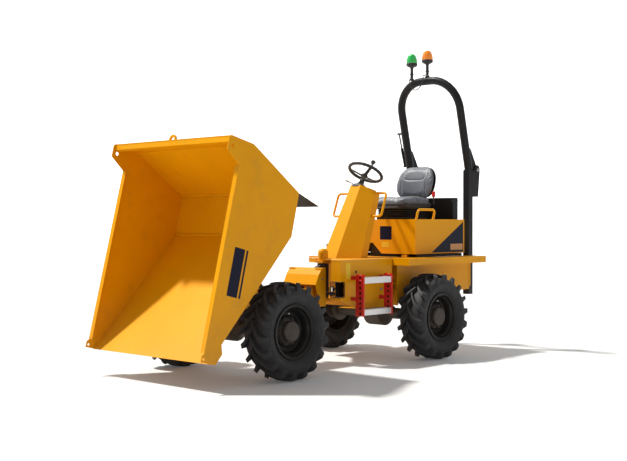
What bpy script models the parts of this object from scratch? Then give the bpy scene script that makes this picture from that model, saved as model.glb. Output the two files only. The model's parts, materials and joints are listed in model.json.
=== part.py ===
"""Small articulated site dumper with a front tipping skip, stored with the skip tipped.

World frame: metres, +Z up from the ground, -Y is the way the machine drives, +X is its left side.
Lengths along the machine are stations, measured rearwards from the front axle, so every piece hangs
from one empty that stands on the front axle's line.
"""
import math

import bmesh
import bpy
from mathutils import Matrix, Vector

# Driving dimensions of the whole machine
WHEELBASE = 1.889
TRACK = 1.278
TYRE_RADIUS = 0.3825
TYRE_WIDTH = 0.261
FRONT_AXLE_Y = -1.03125            # puts the middle of the machine's length on the world origin
GAP = 0.0003                     # between solids that touch
JOINT_GAP = 0.006                # between bodies that move past each other

# Rear frame and deck
DECK_Z = 0.906
DECK_THICK = 0.012
FRAME_SIDE_X = 0.410             # wide part, behind the wide bulkhead
RAIL_X = 0.210                   # narrow part, between the centre pivot and the wide bulkhead
FRAME_PLATE = 0.010
RAIL_FRONT = 1.270
BULKHEAD_Y = 1.680
FRAME_REAR = 2.775
SIDE_BOX_X = 0.420
SIDE_BOX_FRONT = 0.885
RUNNING_BOARD_X = 0.610
RUNNING_BOARD_FRONT = 1.58
RUNNING_BOARD_DEPTH = 0.062
SHEET = 0.005

# Centre pivot: the king pin turns for steering, the trunnion lets the front axle follow the ground
PIVOT_Y = 1.120
PIVOT_PIN_RADIUS = 0.028
PIVOT_TUBE_RADIUS = 0.050
UPPER_EYE_Z = 0.868              # underside of the upper pivot plate
LOWER_EYE_Z = 0.552              # top of the lower pivot plate
TRUNNION_Z = 0.640
TRUNNION_RADIUS = 0.034

# Steering ram: pin in the rear frame, eye over the steering arm
RAM_ANCHOR = Vector((0.355, 1.600, 0.648))
RAM_EYE = Vector((0.250, 0.960, 0.648))

# Front frame
FRONT_PLATE_X = 0.125
TOWER_X = 0.195
TOWER_REAR = 0.945
TOWER_TOP = 0.832
TIPPING_BASE = Vector((0.0, 0.660, 0.400))

# Skip, drawn level as it travels and then tipped about its hinge
SKIP_HINGE = Vector((0.0, 0.090, 0.755))
TIP_ANGLE = math.radians(76)
SKIP_HALF_WIDTH = 0.7035
SKIP_PLATE = 0.006
SKIP_LIP_AHEAD = 0.700           # lip ahead of the hinge, skip level
RAM_LUG = (0.190, 0.150)         # ram eye behind and above the hinge, skip level
SKIP_RIM_ABOVE = 0.835           # rim above the hinge, skip level

# Engine cover, seat and roll-over hoop
COVER_X = 0.43
COVER_FRONT = 1.900
COVER_REAR = 2.665
COVER_BOTTOM = 0.935
COVER_TOP = 1.256
HOOP_X = 0.360
POST_Y = 2.835
HOOP_HINGE = Vector((0.0, 2.935, 1.745))
HOOP_TUBE_RADIUS = 0.039
HOOP_LEAN = math.radians(13.6)
HOOP_TOP_Z = 2.625

# Steering column
WHEEL_TILT = math.radians(31)
STEERING_HUB = Vector((0.0, 1.676, 1.648))
STEERING_RING_RADIUS = 0.158

# Finishes: base colour, roughness, metallic
PAINT = ((0.90, 0.50, 0.012), 0.35, 0.0)
BLACK_PAINT = ((0.018, 0.018, 0.020), 0.45, 0.0)
RUBBER = ((0.022, 0.022, 0.024), 0.85, 0.0)
BLACK_PLASTIC = ((0.030, 0.030, 0.032), 0.60, 0.0)
VINYL = ((0.075, 0.085, 0.100), 0.50, 0.0)
STEEL = ((0.62, 0.62, 0.62), 0.30, 1.0)
CAST = ((0.10, 0.10, 0.10), 0.60, 0.6)
RED_PAINT = ((0.62, 0.025, 0.020), 0.40, 0.0)
TREAD_METAL = ((0.70, 0.70, 0.70), 0.40, 0.9)
GREEN_LENS = ((0.010, 0.42, 0.060), 0.15, 0.0)
AMBER_LENS = ((0.90, 0.22, 0.010), 0.15, 0.0)


# ---------------------------------------------------------------- building tools

def clear_scene():
    for item in list(bpy.data.objects):
        bpy.data.objects.remove(item, do_unlink=True)


def make_empty(name, at=(0, 0, 0), parent=None, tilt=(0, 0, 0)):
    """An empty on a joint's axis; `at` is measured in its parent."""
    empty = bpy.data.objects.new(name, None)
    bpy.context.collection.objects.link(empty)
    empty.parent = parent
    empty.location = at
    empty.rotation_euler = tilt
    return empty


def finish(item, look):
    """Give an object its own Principled material."""
    colour, roughness, metallic = look
    material = bpy.data.materials.new(item.name)
    material.use_nodes = True
    shader = material.node_tree.nodes["Principled BSDF"]
    shader.inputs["Base Color"].default_value = (*colour, 1)
    shader.inputs["Roughness"].default_value = roughness
    shader.inputs["Metallic"].default_value = metallic
    item.data.materials.clear()
    item.data.materials.append(material)


def add_object(name, bm, look=None, parent=None, smooth=False):
    """Turn a bmesh into an object; its mesh keeps the parent's coordinates."""
    bmesh.ops.recalc_face_normals(bm, faces=bm.faces)
    mesh = bpy.data.meshes.new(name)
    bm.to_mesh(mesh)
    bm.free()
    if smooth:
        mesh.shade_smooth()
        mesh.set_sharp_from_angle(angle=math.radians(35))
    item = bpy.data.objects.new(name, mesh)
    bpy.context.collection.objects.link(item)
    item.parent = parent
    if look:
        finish(item, look)
    return item


def prism(outline, axis, low, high, bm=None):
    """Extrude an outline along X, Y or Z; the outline holds the other two coordinates in order."""
    bm = bm or bmesh.new()
    index = "XYZ".index(axis)

    def point(pair, along):
        place = list(pair)
        place.insert(index, along)
        return bm.verts.new(place)

    start = [point(pair, low) for pair in outline]
    end = [point(pair, high) for pair in outline]
    bm.faces.new(start)
    bm.faces.new(end)
    for i in range(len(outline)):
        j = (i + 1) % len(outline)
        bm.faces.new((start[i], start[j], end[j], end[i]))
    return bm


def box(low, high, bm=None):
    outline = [(low[1], low[2]), (high[1], low[2]), (high[1], high[2]), (low[1], high[2])]
    return prism(outline, "X", low[0], high[0], bm)


def lathe(profile, segments, closed=False, bm=None):
    """Turn (radius, along) points about local +X. An open profile starts and ends on the axis."""
    bm = bm or bmesh.new()
    rings = []
    for radius, along in profile:
        if radius == 0:
            rings.append([bm.verts.new((along, 0, 0))])
            continue
        ring = []
        for k in range(segments):
            angle = 2 * math.pi * k / segments
            ring.append(bm.verts.new((along, radius * math.cos(angle), radius * math.sin(angle))))
        rings.append(ring)
    pairs = list(zip(rings, rings[1:]))
    if closed:
        pairs.append((rings[-1], rings[0]))
    for first, second in pairs:
        for k in range(segments):
            n = (k + 1) % segments
            corners = [first[k % len(first)], first[n % len(first)],
                       second[n % len(second)], second[k % len(second)]]
            bm.faces.new(list(dict.fromkeys(corners)))
    return bm


def rod(start, end, radius, sides=20, bm=None):
    """A straight round bar between two points."""
    start, end = Vector(start), Vector(end)
    part = lathe([(0, 0), (radius, 0), (radius, (end - start).length), (0, (end - start).length)], sides)
    turn = (end - start).to_track_quat("X", "Z").to_matrix().to_4x4()
    part.transform(Matrix.Translation(start) @ turn)
    if bm is None:
        return part
    mesh = bpy.data.meshes.new("rod")
    part.to_mesh(mesh)
    part.free()
    bm.from_mesh(mesh)
    bpy.data.meshes.remove(mesh)
    return bm


def turned(profile, at, towards, segments, closed=False):
    """A lathe body whose axis starts at a point and runs towards a direction."""
    part = lathe(profile, segments, closed)
    turn = Vector(towards).to_track_quat("X", "Z").to_matrix().to_4x4()
    part.transform(Matrix.Translation(Vector(at)) @ turn)
    return part


def arc(centre, radius, start, stop, steps):
    """Points of a round stretch of an outline, angles in degrees."""
    points = []
    for k in range(steps + 1):
        angle = math.radians(start + (stop - start) * k / steps)
        points.append((centre[0] + radius * math.cos(angle), centre[1] + radius * math.sin(angle)))
    return points


def offset_line(points, thickness):
    """The same open line moved sideways by the plate thickness, mitred at its folds."""
    points = [Vector(p) for p in points]
    normals = []
    for a, b in zip(points, points[1:]):
        run = (b - a).normalized()
        normals.append(Vector((-run.y, run.x)))
    moved = [points[0] + normals[0] * thickness]
    for k in range(1, len(points) - 1):
        middle = (normals[k - 1] + normals[k]).normalized()
        moved.append(points[k] + middle * thickness / middle.dot(normals[k]))
    moved.append(points[-1] + normals[-1] * thickness)
    return [tuple(p) for p in moved]


def folded_plate(line, thickness):
    """Outline of a folded plate: the line on one face, its offset on the other."""
    return list(line) + offset_line(line, thickness)[::-1]


def rounded_path(points, radius, steps=5):
    """A path with its inner corners bent to a radius."""
    points = [Vector(p) for p in points]
    path = [points[0]]
    for before, corner, after in zip(points, points[1:], points[2:]):
        back, ahead = (before - corner).normalized(), (after - corner).normalized()
        half = back.angle(ahead) / 2
        reach = min(radius / math.tan(half), 0.49 * (before - corner).length, 0.49 * (after - corner).length)
        bend = reach * math.tan(half)
        centre = corner + (back + ahead).normalized() * bend / math.sin(half)
        first, last = corner + back * reach - centre, corner + ahead * reach - centre
        for k in range(steps + 1):
            path.append(centre + first.slerp(last, k / steps).normalized() * bend)
    path.append(points[-1])
    return path


def pipe(name, path, radius, look, parent, resolution=1):
    """A bent tube: a curve with a round bevel and filled ends."""
    curve = bpy.data.curves.new(name, "CURVE")
    curve.dimensions = "3D"
    curve.bevel_depth = radius
    curve.bevel_resolution = resolution
    curve.use_fill_caps = True
    spline = curve.splines.new("POLY")
    spline.points.add(len(path) - 1)
    for target, place in zip(spline.points, path):
        target.co = (*place, 1)
    item = bpy.data.objects.new(name, curve)
    bpy.context.collection.objects.link(item)
    item.parent = parent
    if look:
        finish(item, look)
    return item


def helper(name, bm, parent):
    """A cutter or a piece to be welded on; it is left out of the finished model."""
    item = add_object(name, bm, None, parent)
    item.hide_render = True
    item.display_type = "WIRE"
    return item


def combine(item, bm, operation):
    """Weld a shape to an object, or cut it away."""
    other = helper(f"{item.name}_{operation.lower()}_{len(item.modifiers)}", bm, item.parent)
    step = item.modifiers.new(other.name, "BOOLEAN")
    step.operation = operation
    step.solver = "EXACT"
    step.object = other


def weld(item, *shapes):
    for bm in shapes:
        combine(item, bm, "UNION")


def cut(item, *shapes):
    for bm in shapes:
        combine(item, bm, "DIFFERENCE")


def sheet_cover(name, bm, thickness, look, parent):
    """A pressed cover: an open skin given its thickness inwards."""
    item = add_object(name, bm, look, parent)
    step = item.modifiers.new("sheet", "SOLIDIFY")
    step.thickness = thickness
    step.offset = -1
    step.use_even_offset = True
    return item


def soften(item, width, segments=2):
    step = item.modifiers.new("edges", "BEVEL")
    step.width = width
    step.segments = segments
    step.limit_method = "ANGLE"
    step.angle_limit = math.radians(35)


# ---------------------------------------------------------------- rear frame and deck

def rear_frame(root):
    """Narrow rails, wide side plates, bulkheads, belly, pivot plates and king pin, all one weldment."""
    top = DECK_Z - DECK_THICK - GAP
    rail_in, wide_in = RAIL_X - FRAME_PLATE, FRAME_SIDE_X - FRAME_PLATE
    wide_part = [(BULKHEAD_Y - 0.02, 0.500), (2.10, 0.500), (2.24, 0.560), (FRAME_REAR, 0.580), (FRAME_REAR, top),
                 (BULKHEAD_Y - 0.02, top)]
    narrow_part = [(RAIL_FRONT, 0.480), (BULKHEAD_Y + 0.004, 0.480), (BULKHEAD_Y + 0.004, top - 0.001),
                   (RAIL_FRONT, top - 0.001)]
    frame = add_object("rear_frame", prism(wide_part, "X", wide_in, FRAME_SIDE_X), PAINT, root)
    nose_front = PIVOT_Y - 0.055
    eye_plate = [(-rail_in - 0.004, RAIL_FRONT + 0.006), (-0.075, PIVOT_Y), (-0.050, nose_front),
                 (0.050, nose_front), (0.075, PIVOT_Y), (rail_in + 0.004, RAIL_FRONT + 0.006)]
    weld(frame,
         prism(wide_part, "X", -FRAME_SIDE_X, -wide_in),
         prism(narrow_part, "X", rail_in, RAIL_X),
         prism(narrow_part, "X", -RAIL_X, -rail_in),
         box((-wide_in - 0.002, BULKHEAD_Y, 0.476), (wide_in + 0.002, BULKHEAD_Y + 0.010, top - 0.004)),
         box((-rail_in - 0.002, RAIL_FRONT + 0.002, 0.484), (rail_in + 0.002, RAIL_FRONT + 0.014, top - 0.003)),
         box((-rail_in - 0.001, RAIL_FRONT + 0.01, 0.486), (rail_in + 0.001, BULKHEAD_Y + 0.003, 0.496)),
         box((-wide_in - 0.001, 2.18, 0.590), (wide_in + 0.001, FRAME_REAR - 0.004, 0.600)),
         box((-0.415, FRAME_REAR - 0.002, 0.610), (0.415, FRAME_REAR + 0.016, 0.860)),
         prism(eye_plate, "Z", LOWER_EYE_Z - 0.022, LOWER_EYE_Z),
         prism(eye_plate, "Z", UPPER_EYE_Z, UPPER_EYE_Z + 0.020),
         rod((0, PIVOT_Y, LOWER_EYE_Z - 0.045), (0, PIVOT_Y, UPPER_EYE_Z + 0.03), PIVOT_PIN_RADIUS, 24),
         turned([(0, 0), (0.046, 0), (0.047, 0.085), (0.042, 0.105), (0.030, 0.120), (0, 0.126)],
                (0, PIVOT_Y, UPPER_EYE_Z + 0.004), (0, 0, 1), 20))
    clevis = [(RAM_ANCHOR.x - 0.026, RAM_ANCHOR.y - 0.026), (RAM_ANCHOR.x + 0.026, RAM_ANCHOR.y - 0.026),
              (RAM_ANCHOR.x + 0.036, BULKHEAD_Y + 0.002), (RAM_ANCHOR.x - 0.036, BULKHEAD_Y + 0.002)]
    z = RAM_ANCHOR.z
    weld(frame,
         prism(clevis, "Z", z - 0.034, z - 0.026),
         prism(clevis, "Z", z + 0.026, z + 0.034),
         rod(RAM_ANCHOR - Vector((0, 0, 0.040)), RAM_ANCHOR + Vector((0, 0, 0.040)), 0.011, 12))
    return frame


def side_box(root):
    """Sheet casing on the left between pivot and rear wheel; the steering ram leaves through its front."""
    low, top = 0.480, DECK_Z - DECK_THICK - GAP
    front, rear = SIDE_BOX_FRONT, RUNNING_BOARD_FRONT - 0.005
    panel = [(front, top), (front, 0.562), (front + 0.060, 0.540), (front + 0.210, low), (rear, low), (rear, top)]
    casing = add_object("side_box_left", prism(panel, "X", SIDE_BOX_X - SHEET, SIDE_BOX_X), PAINT, root)
    weld(casing,
         box((0.310, front + 0.0005, 0.563), (SIDE_BOX_X - 0.001, front + SHEET, top - 0.001)),
         box((RAIL_X + GAP, rear - SHEET, low + 0.001), (SIDE_BOX_X - 0.001, rear - 0.0005, 0.590)),
         box((RAIL_X + GAP, front + 0.210, low + 0.0005), (SIDE_BOX_X - 0.001, rear - 0.001, low + SHEET)))
    opening = [(0.300, 0.590)] + arc((0.400, 0.605), 0.015, 270, 360, 3)
    opening += arc((0.400, 0.700), 0.015, 0, 90, 3) + [(0.300, 0.715)]
    side_opening = [(front - 0.010, 0.590)] + arc((front + 0.035, 0.605), 0.015, 270, 360, 3)
    side_opening += arc((front + 0.035, 0.700), 0.015, 0, 90, 3) + [(front - 0.010, 0.715)]
    cut(casing, prism(opening, "Y", front - 0.01, front + 0.01),
        prism(side_opening, "X", SIDE_BOX_X - 0.02, SIDE_BOX_X + 0.01))
    return casing


def right_tank(root):
    """Hydraulic tank on the right, lower than the deck."""
    outline = [(1.300, 0.520), (1.340, 0.490), (1.640, 0.490), (1.655, 0.505), (1.655, 0.800), (1.300, 0.800)]
    tank = add_object("tank_right", prism(outline, "X", -SIDE_BOX_X, -RAIL_X - GAP), PAINT, root)
    return tank


def running_board(root, side, name):
    """A pressed channel beside the engine cover, open at its rear end."""
    inner, outer = SIDE_BOX_X + 0.002, RUNNING_BOARD_X
    bottom = DECK_Z - RUNNING_BOARD_DEPTH
    section = [(inner, DECK_Z), (outer, DECK_Z), (outer, bottom), (outer - 0.035, bottom)]
    outline = [(side * x, z) for x, z in folded_plate(section[::-1], SHEET)]
    board = add_object(name, prism(outline, "Y", RUNNING_BOARD_FRONT, FRAME_REAR - 0.006), PAINT, root)
    nose = prism([(side * inner, bottom), (side * (outer - 0.001), bottom), (side * (outer - 0.001), DECK_Z - 0.001),
                  (side * inner, DECK_Z - 0.001)], "Y", RUNNING_BOARD_FRONT + 0.0005, RUNNING_BOARD_FRONT + 0.0055)
    brackets = [box((side * inner if side > 0 else -outer + 0.003, y, bottom + 0.02),
                    (outer - 0.003 if side > 0 else side * inner, y + 0.008, DECK_Z - 0.003))
                for y in (2.0, 2.45)]
    weld(board, nose, *brackets)
    return board


def floor_plate(root):
    """Chequer deck in front of the engine cover, notched round the top of the centre pivot."""
    notch = 0.060
    outline = [(SIDE_BOX_X, SIDE_BOX_FRONT), (SIDE_BOX_X, COVER_FRONT + 0.03), (-SIDE_BOX_X, COVER_FRONT + 0.03),
               (-SIDE_BOX_X, 1.510), (-0.250, 1.450), (-0.250, 1.200), (-0.140, 1.080), (-notch, 1.080),
               (-notch, 1.180), (notch, 1.180), (notch, 1.080), (0.140, 1.080), (0.310, SIDE_BOX_FRONT)]
    deck = add_object("floor_plate", prism(outline, "Z", DECK_Z - DECK_THICK, DECK_Z), PAINT, root)
    weld(deck, *(box((x - 0.030, COVER_FRONT - 0.002, DECK_Z - 0.004), (x + 0.030, COVER_FRONT + 0.022, DECK_Z + 0.023))
                 for x in (-0.30, 0.30)))
    return deck


def engine(root):
    """The engine as one plain block at its real place."""
    block = add_object("engine_block", box((-0.20, 1.98, 0.62), (0.20, 2.54, 1.12)), CAST, root)
    soften(block, 0.03, 1)
    return block


def access_step(root):
    """Two perforated upright rails that carry two treads, on the left side only."""
    outer, depth, plate = 0.570, 0.084, 0.006
    front, rear = 1.020, 1.395
    inner = outer - depth
    for name, y in (("step_rail_front", front), ("step_rail_rear", rear)):
        rail = add_object(name, box((inner, y, 0.425), (outer, y + plate, 0.780)), RED_PAINT, root)
        arms = [box((SIDE_BOX_X + GAP, y + 0.0005, z), (inner + 0.002, y + plate - 0.0005, z + 0.030))
                for z in (0.555, 0.735)]
        feet = [box((SIDE_BOX_X + GAP, y, z - 0.001), (SIDE_BOX_X + 0.006, y + 0.045, z + 0.031))
                for z in (0.555, 0.735)]
        weld(rail, *arms, *feet)
    for name, z in (("step_tread_upper", 0.706), ("step_tread_lower", 0.435)):
        line = [(inner, z), (outer - 0.002, z), (outer - 0.002, z + 0.048), (inner, z + 0.048)]
        outline = folded_plate(line, 0.004)
        add_object(name, prism(outline, "Y", front + plate + GAP, rear - GAP), TREAD_METAL, root)


def steering_console(root):
    """A leaning pressed column with chamfered front corners, open at the bottom."""
    lean = Vector((0, math.sin(WHEEL_TILT), math.cos(WHEEL_TILT)))

    def ring(front, half_front, half_side, chamfer, depth):
        return [(-half_front, front), (half_front, front), (half_side, front + chamfer),
                (half_side, front + depth), (-half_side, front + depth), (-half_side, front + chamfer)]

    bm = bmesh.new()
    bottom_ring = ring(1.200, 0.080, 0.225, 0.170, 0.260)
    top_ring = ring(1.563, 0.060, 0.162, 0.085, 0.150)
    bottom = [bm.verts.new((x, y, DECK_Z + 0.0024)) for x, y in bottom_ring]
    top = [bm.verts.new((x, y, 1.572 - (y - 1.563) * math.tan(WHEEL_TILT))) for x, y in top_ring]
    for k in range(6):
        n = (k + 1) % 6
        bm.faces.new((bottom[k], bottom[n], top[n], top[k]))
    bm.faces.new(top)
    console = sheet_cover("steering_console", bm, 0.004, PAINT, root)
    for side, name in ((1, "console_handle_left"), (-1, "console_handle_right")):
        out = 0.292
        points = [(side * 0.1665, 1.655, 1.496), (side * out, 1.655, 1.496),
                  (side * out, 1.575, 1.283), (side * 0.1890, 1.575, 1.283)]
        pipe(name, rounded_path(points, 0.032, 3), 0.011, PAINT, root)
    dash = add_object("dash_panel", turned([(0, 0), (0.070, 0), (0.074, 0.008), (0.066, 0.026), (0.030, 0.040),
                                            (0.026, 0.062), (0, 0.062)],
                                           (0, 1.628, 1.5332 + GAP), lean, 16), BLACK_PLASTIC, root)
    return console, dash


def steering_wheel(root):
    """Ring, three spokes and dished hub; the axis leans back with the column."""
    axis = make_empty("steering_axis", STEERING_HUB, root, (-WHEEL_TILT, 0, 0))
    rise, grip = 0.050, 0.0125
    ring = []
    for k in range(6):
        angle = 2 * math.pi * k / 6
        ring.append((STEERING_RING_RADIUS + grip * math.cos(angle), rise + grip * math.sin(angle)))
    bm = lathe(ring, 28, closed=True)
    bm.transform(Matrix.Rotation(-math.pi / 2, 4, "Y"))
    wheel = add_object("steering_wheel", bm, BLACK_PLASTIC, axis, smooth=True)
    spokes = []
    for angle in (-33, 87, 207):
        direction = Vector((math.cos(math.radians(angle)), math.sin(math.radians(angle)), 0))
        spokes.append(rod(direction * 0.012 + Vector((0, 0, 0.008)),
                          direction * (STEERING_RING_RADIUS - 0.004) + Vector((0, 0, rise)), 0.0085, 10))
    hub = turned([(0, 0), (0.026, 0), (0.030, 0.010), (0.024, 0.022), (0, 0.024)], (0, 0, 0), (0, 0, 1), 16)
    knob_angle = math.radians(-33)
    knob_at = Vector((math.cos(knob_angle), math.sin(knob_angle), 0)) * (STEERING_RING_RADIUS + 0.002)
    knob = turned([(0, 0), (0.008, 0), (0.008, 0.028), (0.019, 0.038), (0.022, 0.055), (0.014, 0.068), (0, 0.072)],
                  knob_at + Vector((0, 0, rise)), (0, 0, 1), 12)
    weld(wheel, hub, *spokes, knob)
    return wheel


# ---------------------------------------------------------------- engine cover and seat

def engine_cover(root):
    """The cover tips forward on a hinge along its lower front edge and carries the seat."""
    at = Vector((0, COVER_FRONT + 0.010, COVER_BOTTOM))
    hinge = make_empty("cover_hinge", at, root)
    low, high = -COVER_X, COVER_X
    front, rear = COVER_FRONT - at.y, COVER_REAR - at.y
    height = COVER_TOP - COVER_BOTTOM
    bm = box((low, front, 0), (high, rear, height))
    floor = [face for face in bm.faces if all(abs(v.co.z) < 1e-6 for v in face.verts)]
    bmesh.ops.delete(bm, geom=floor, context="FACES_ONLY")
    cover = sheet_cover("engine_cover", bm, 0.004, PAINT, hinge)
    notch = prism([(-0.24, -0.02), (0.05, -0.02), (-0.08, 0.100), (-0.19, 0.100)], "Y", front - 0.05, front + 0.05)
    cut(cover, notch)
    for side, name in ((1, "cover_handle_left"), (-1, "cover_handle_right")):
        foot, top = side * (COVER_X - 0.025), side * (COVER_X - 0.003)
        points = [(foot, 0.035, height + GAP + 0.003), (top, 0.035, height + 0.090),
                  (top, 0.290, height + 0.090), (foot, 0.290, height + GAP + 0.003)]
        pipe(name, rounded_path(points, 0.030, 3), 0.011, PAINT, hinge)
    rear_box = add_object("rear_locker", box((-0.36, rear - 0.088, height + GAP), (0.36, rear - 0.004, height + 0.210)),
                          BLACK_PAINT, hinge)
    soften(rear_box, 0.006, 1)
    base = add_object("seat_base", box((-0.20, 0.125, height + GAP), (0.20, 0.520, height + 0.118)), BLACK_PLASTIC, hinge)
    soften(base, 0.02, 1)
    cushion = add_object("seat_cushion", box((-0.235, 0.080, height + 0.120), (0.235, 0.540, height + 0.212)),
                         VINYL, hinge)
    soften(cushion, 0.03, 2)
    back_line = [(0.500, height + 0.215), (0.548, height + 0.535), (0.640, height + 0.520), (0.600, height + 0.215)]
    back = add_object("seat_back", prism(back_line, "X", -0.225, 0.225), VINYL, hinge)
    soften(back, 0.035, 2)
    return cover


# ---------------------------------------------------------------- roll-over hoop and beacons

def hoop_posts(root):
    """Square lower posts behind the engine cover, each with a pair of hinge plates and a pin."""
    hinge_y, hinge_z = HOOP_HINGE.y, HOOP_HINGE.z
    for side, name in ((1, "hoop_post_left"), (-1, "hoop_post_right")):
        x = side * HOOP_X
        front = FRAME_REAR + 0.016 + GAP
        post = add_object(name, box((x - 0.034, front, 0.525), (x + 0.034, POST_Y + 0.022, hinge_z - 0.010)),
                          BLACK_PAINT, root)
        plate = [(POST_Y, hinge_z - 0.265), (2.955, hinge_z - 0.265)]
        plate += arc((hinge_y, hinge_z), 0.048, -10, 110, 6)
        plate += [(POST_Y + 0.060, hinge_z - 0.002), (POST_Y + 0.038, hinge_z - 0.012), (POST_Y, hinge_z - 0.014)]
        ears = [prism(plate, "X", x + shift - 0.004, x + shift + 0.004) for shift in (-0.026, 0.026)]
        pin = rod((x - 0.036, hinge_y, hinge_z), (x + 0.036, hinge_y, hinge_z), 0.012, 14)
        weld(post, *ears, pin)


def folding_hoop(root):
    """A bent tube that leans forward and folds back about the pins behind its legs."""
    axis = make_empty("hoop_hinge", HOOP_HINGE, root)
    foot = Vector((0, POST_Y - HOOP_HINGE.y, 0.0))
    rise = (HOOP_TOP_Z - HOOP_HINGE.z) / math.cos(HOOP_LEAN)
    up = Vector((0, -math.sin(HOOP_LEAN), math.cos(HOOP_LEAN)))

    def on_hoop(x, along):
        return foot + Vector((x, 0, 0)) + up * along

    points = [on_hoop(-HOOP_X, 0.004), on_hoop(-HOOP_X, rise), on_hoop(HOOP_X, rise), on_hoop(HOOP_X, 0.004)]
    tube = pipe("tube", rounded_path(points, 0.300, 8), HOOP_TUBE_RADIUS, None, axis, 2)
    bpy.context.view_layer.update()
    mesh = bpy.data.meshes.new_from_object(tube.evaluated_get(bpy.context.evaluated_depsgraph_get()))
    bpy.data.objects.remove(tube)
    mesh.name = "rops_hoop"
    mesh.shade_smooth()
    mesh.set_sharp_from_angle(angle=math.radians(40))
    hoop = bpy.data.objects.new("rops_hoop", mesh)
    bpy.context.collection.objects.link(hoop)
    hoop.parent = axis
    finish(hoop, BLACK_PAINT)
    for side in (1, -1):
        lug = [(foot.y - 0.005, 0.045)] + [(foot.y - 0.010 - 0.058, 0.255)]
        lug += [(foot.y - 0.058 + 0.075, 0.200)] + arc((0, 0), 0.034, 60, -100, 6) + [(foot.y + 0.030, 0.012)]
        eye = prism(lug, "X", side * HOOP_X - 0.015, side * HOOP_X + 0.015)
        weld(hoop, eye)
        cut(hoop, rod((side * HOOP_X - 0.05, 0, 0), (side * HOOP_X + 0.05, 0, 0), 0.0125, 14))
    for name, x, lift, look in (("beacon_green", -0.172, -0.013, GREEN_LENS),
                                ("beacon_amber", 0.022, 0.002, AMBER_LENS)):
        base = foot + up * (rise + HOOP_TUBE_RADIUS / math.cos(HOOP_LEAN)) + Vector((x, 0, lift))
        lamp = [(0, 0), (0.020, 0), (0.014, 0.014), (0.013, 0.120), (0.056, 0.140), (0.056, 0.162), (0.047, 0.235),
                (0.034, 0.254), (0, 0.260)]
        add_object(name, turned(lamp, base, (0, 0, 1), 14), look, axis, smooth=True)
    return hoop


# ---------------------------------------------------------------- axles and wheels

def axle(name, parent, at, pad_x, pad_top):
    """Gear housing, two axle tubes with wheel flanges, and the pads that bolt to the frame."""
    def place(bm):
        bm.transform(Matrix.Translation(at))
        return bm

    reach = TRACK / 2 - 0.030
    tube = [(0, -reach), (0.085, -reach), (0.085, -reach + 0.020), (0.052, -reach + 0.030), (0.052, -0.16),
            (0.085, -0.12), (0.120, -0.09), (0.120, 0.09), (0.085, 0.12), (0.052, 0.16), (0.052, reach - 0.030),
            (0.085, reach - 0.020), (0.085, reach), (0, reach)]
    item = add_object(name, place(lathe(tube, 20)), CAST, parent)
    pads = [place(box((x - 0.030, -0.055, 0.020), (x + 0.030, 0.055, pad_top))) for x in (-pad_x, pad_x)]
    nose = place(turned([(0, 0), (0.070, 0), (0.060, 0.13), (0.045, 0.15), (0, 0.15)], (0, 0.06, 0), (0, 1, 0), 14))
    weld(item, *pads, nose)
    return item


def wheel_meshes():
    """One rim and one tyre mesh, outer side at +X, shared by the four wheels."""
    half = TYRE_WIDTH / 2
    tyre = [(0.207, 0.0975), (0.224, 0.0978), (0.275, half), (0.355, 0.1200), (TYRE_RADIUS, 0.060)]
    tyre += [(radius, -along) for radius, along in reversed(tyre)]
    rim = [(0, 0.100), (0.074, 0.100), (0.078, 0.040), (0.188, 0.046), (0.198, 0.110), (0.2165, 0.112),
           (0.2165, 0.0982), (0.2050, 0.0982), (0.2050, -0.0982), (0.2165, -0.0982), (0.2165, -0.112),
           (0.198, -0.110), (0.186, 0.036), (0.080, 0.030), (0.080, -0.018), (0, -0.018)]
    meshes = {}
    for name, profile, segments, closed in (("tyre", tyre, 28, True), ("rim", rim, 20, False)):
        bm = lathe(profile, segments, closed)
        bmesh.ops.recalc_face_normals(bm, faces=bm.faces)
        mesh = bpy.data.meshes.new(name)
        bm.to_mesh(mesh)
        bm.free()
        mesh.shade_smooth()
        mesh.set_sharp_from_angle(angle=math.radians(35))
        meshes[name] = mesh
    return meshes


def wheel(meshes, where, side, parent, at):
    hub = make_empty(f"wheel_axis_{where}", at, parent, (0, 0, 0 if side > 0 else math.pi))
    for kind, look in (("rim", BLACK_PAINT), ("tyre", RUBBER)):
        item = bpy.data.objects.new(f"{kind}_{where}", meshes[kind].copy())
        bpy.context.collection.objects.link(item)
        item.parent = hub
        finish(item, look)


# ---------------------------------------------------------------- centre pivot and front frame

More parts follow.
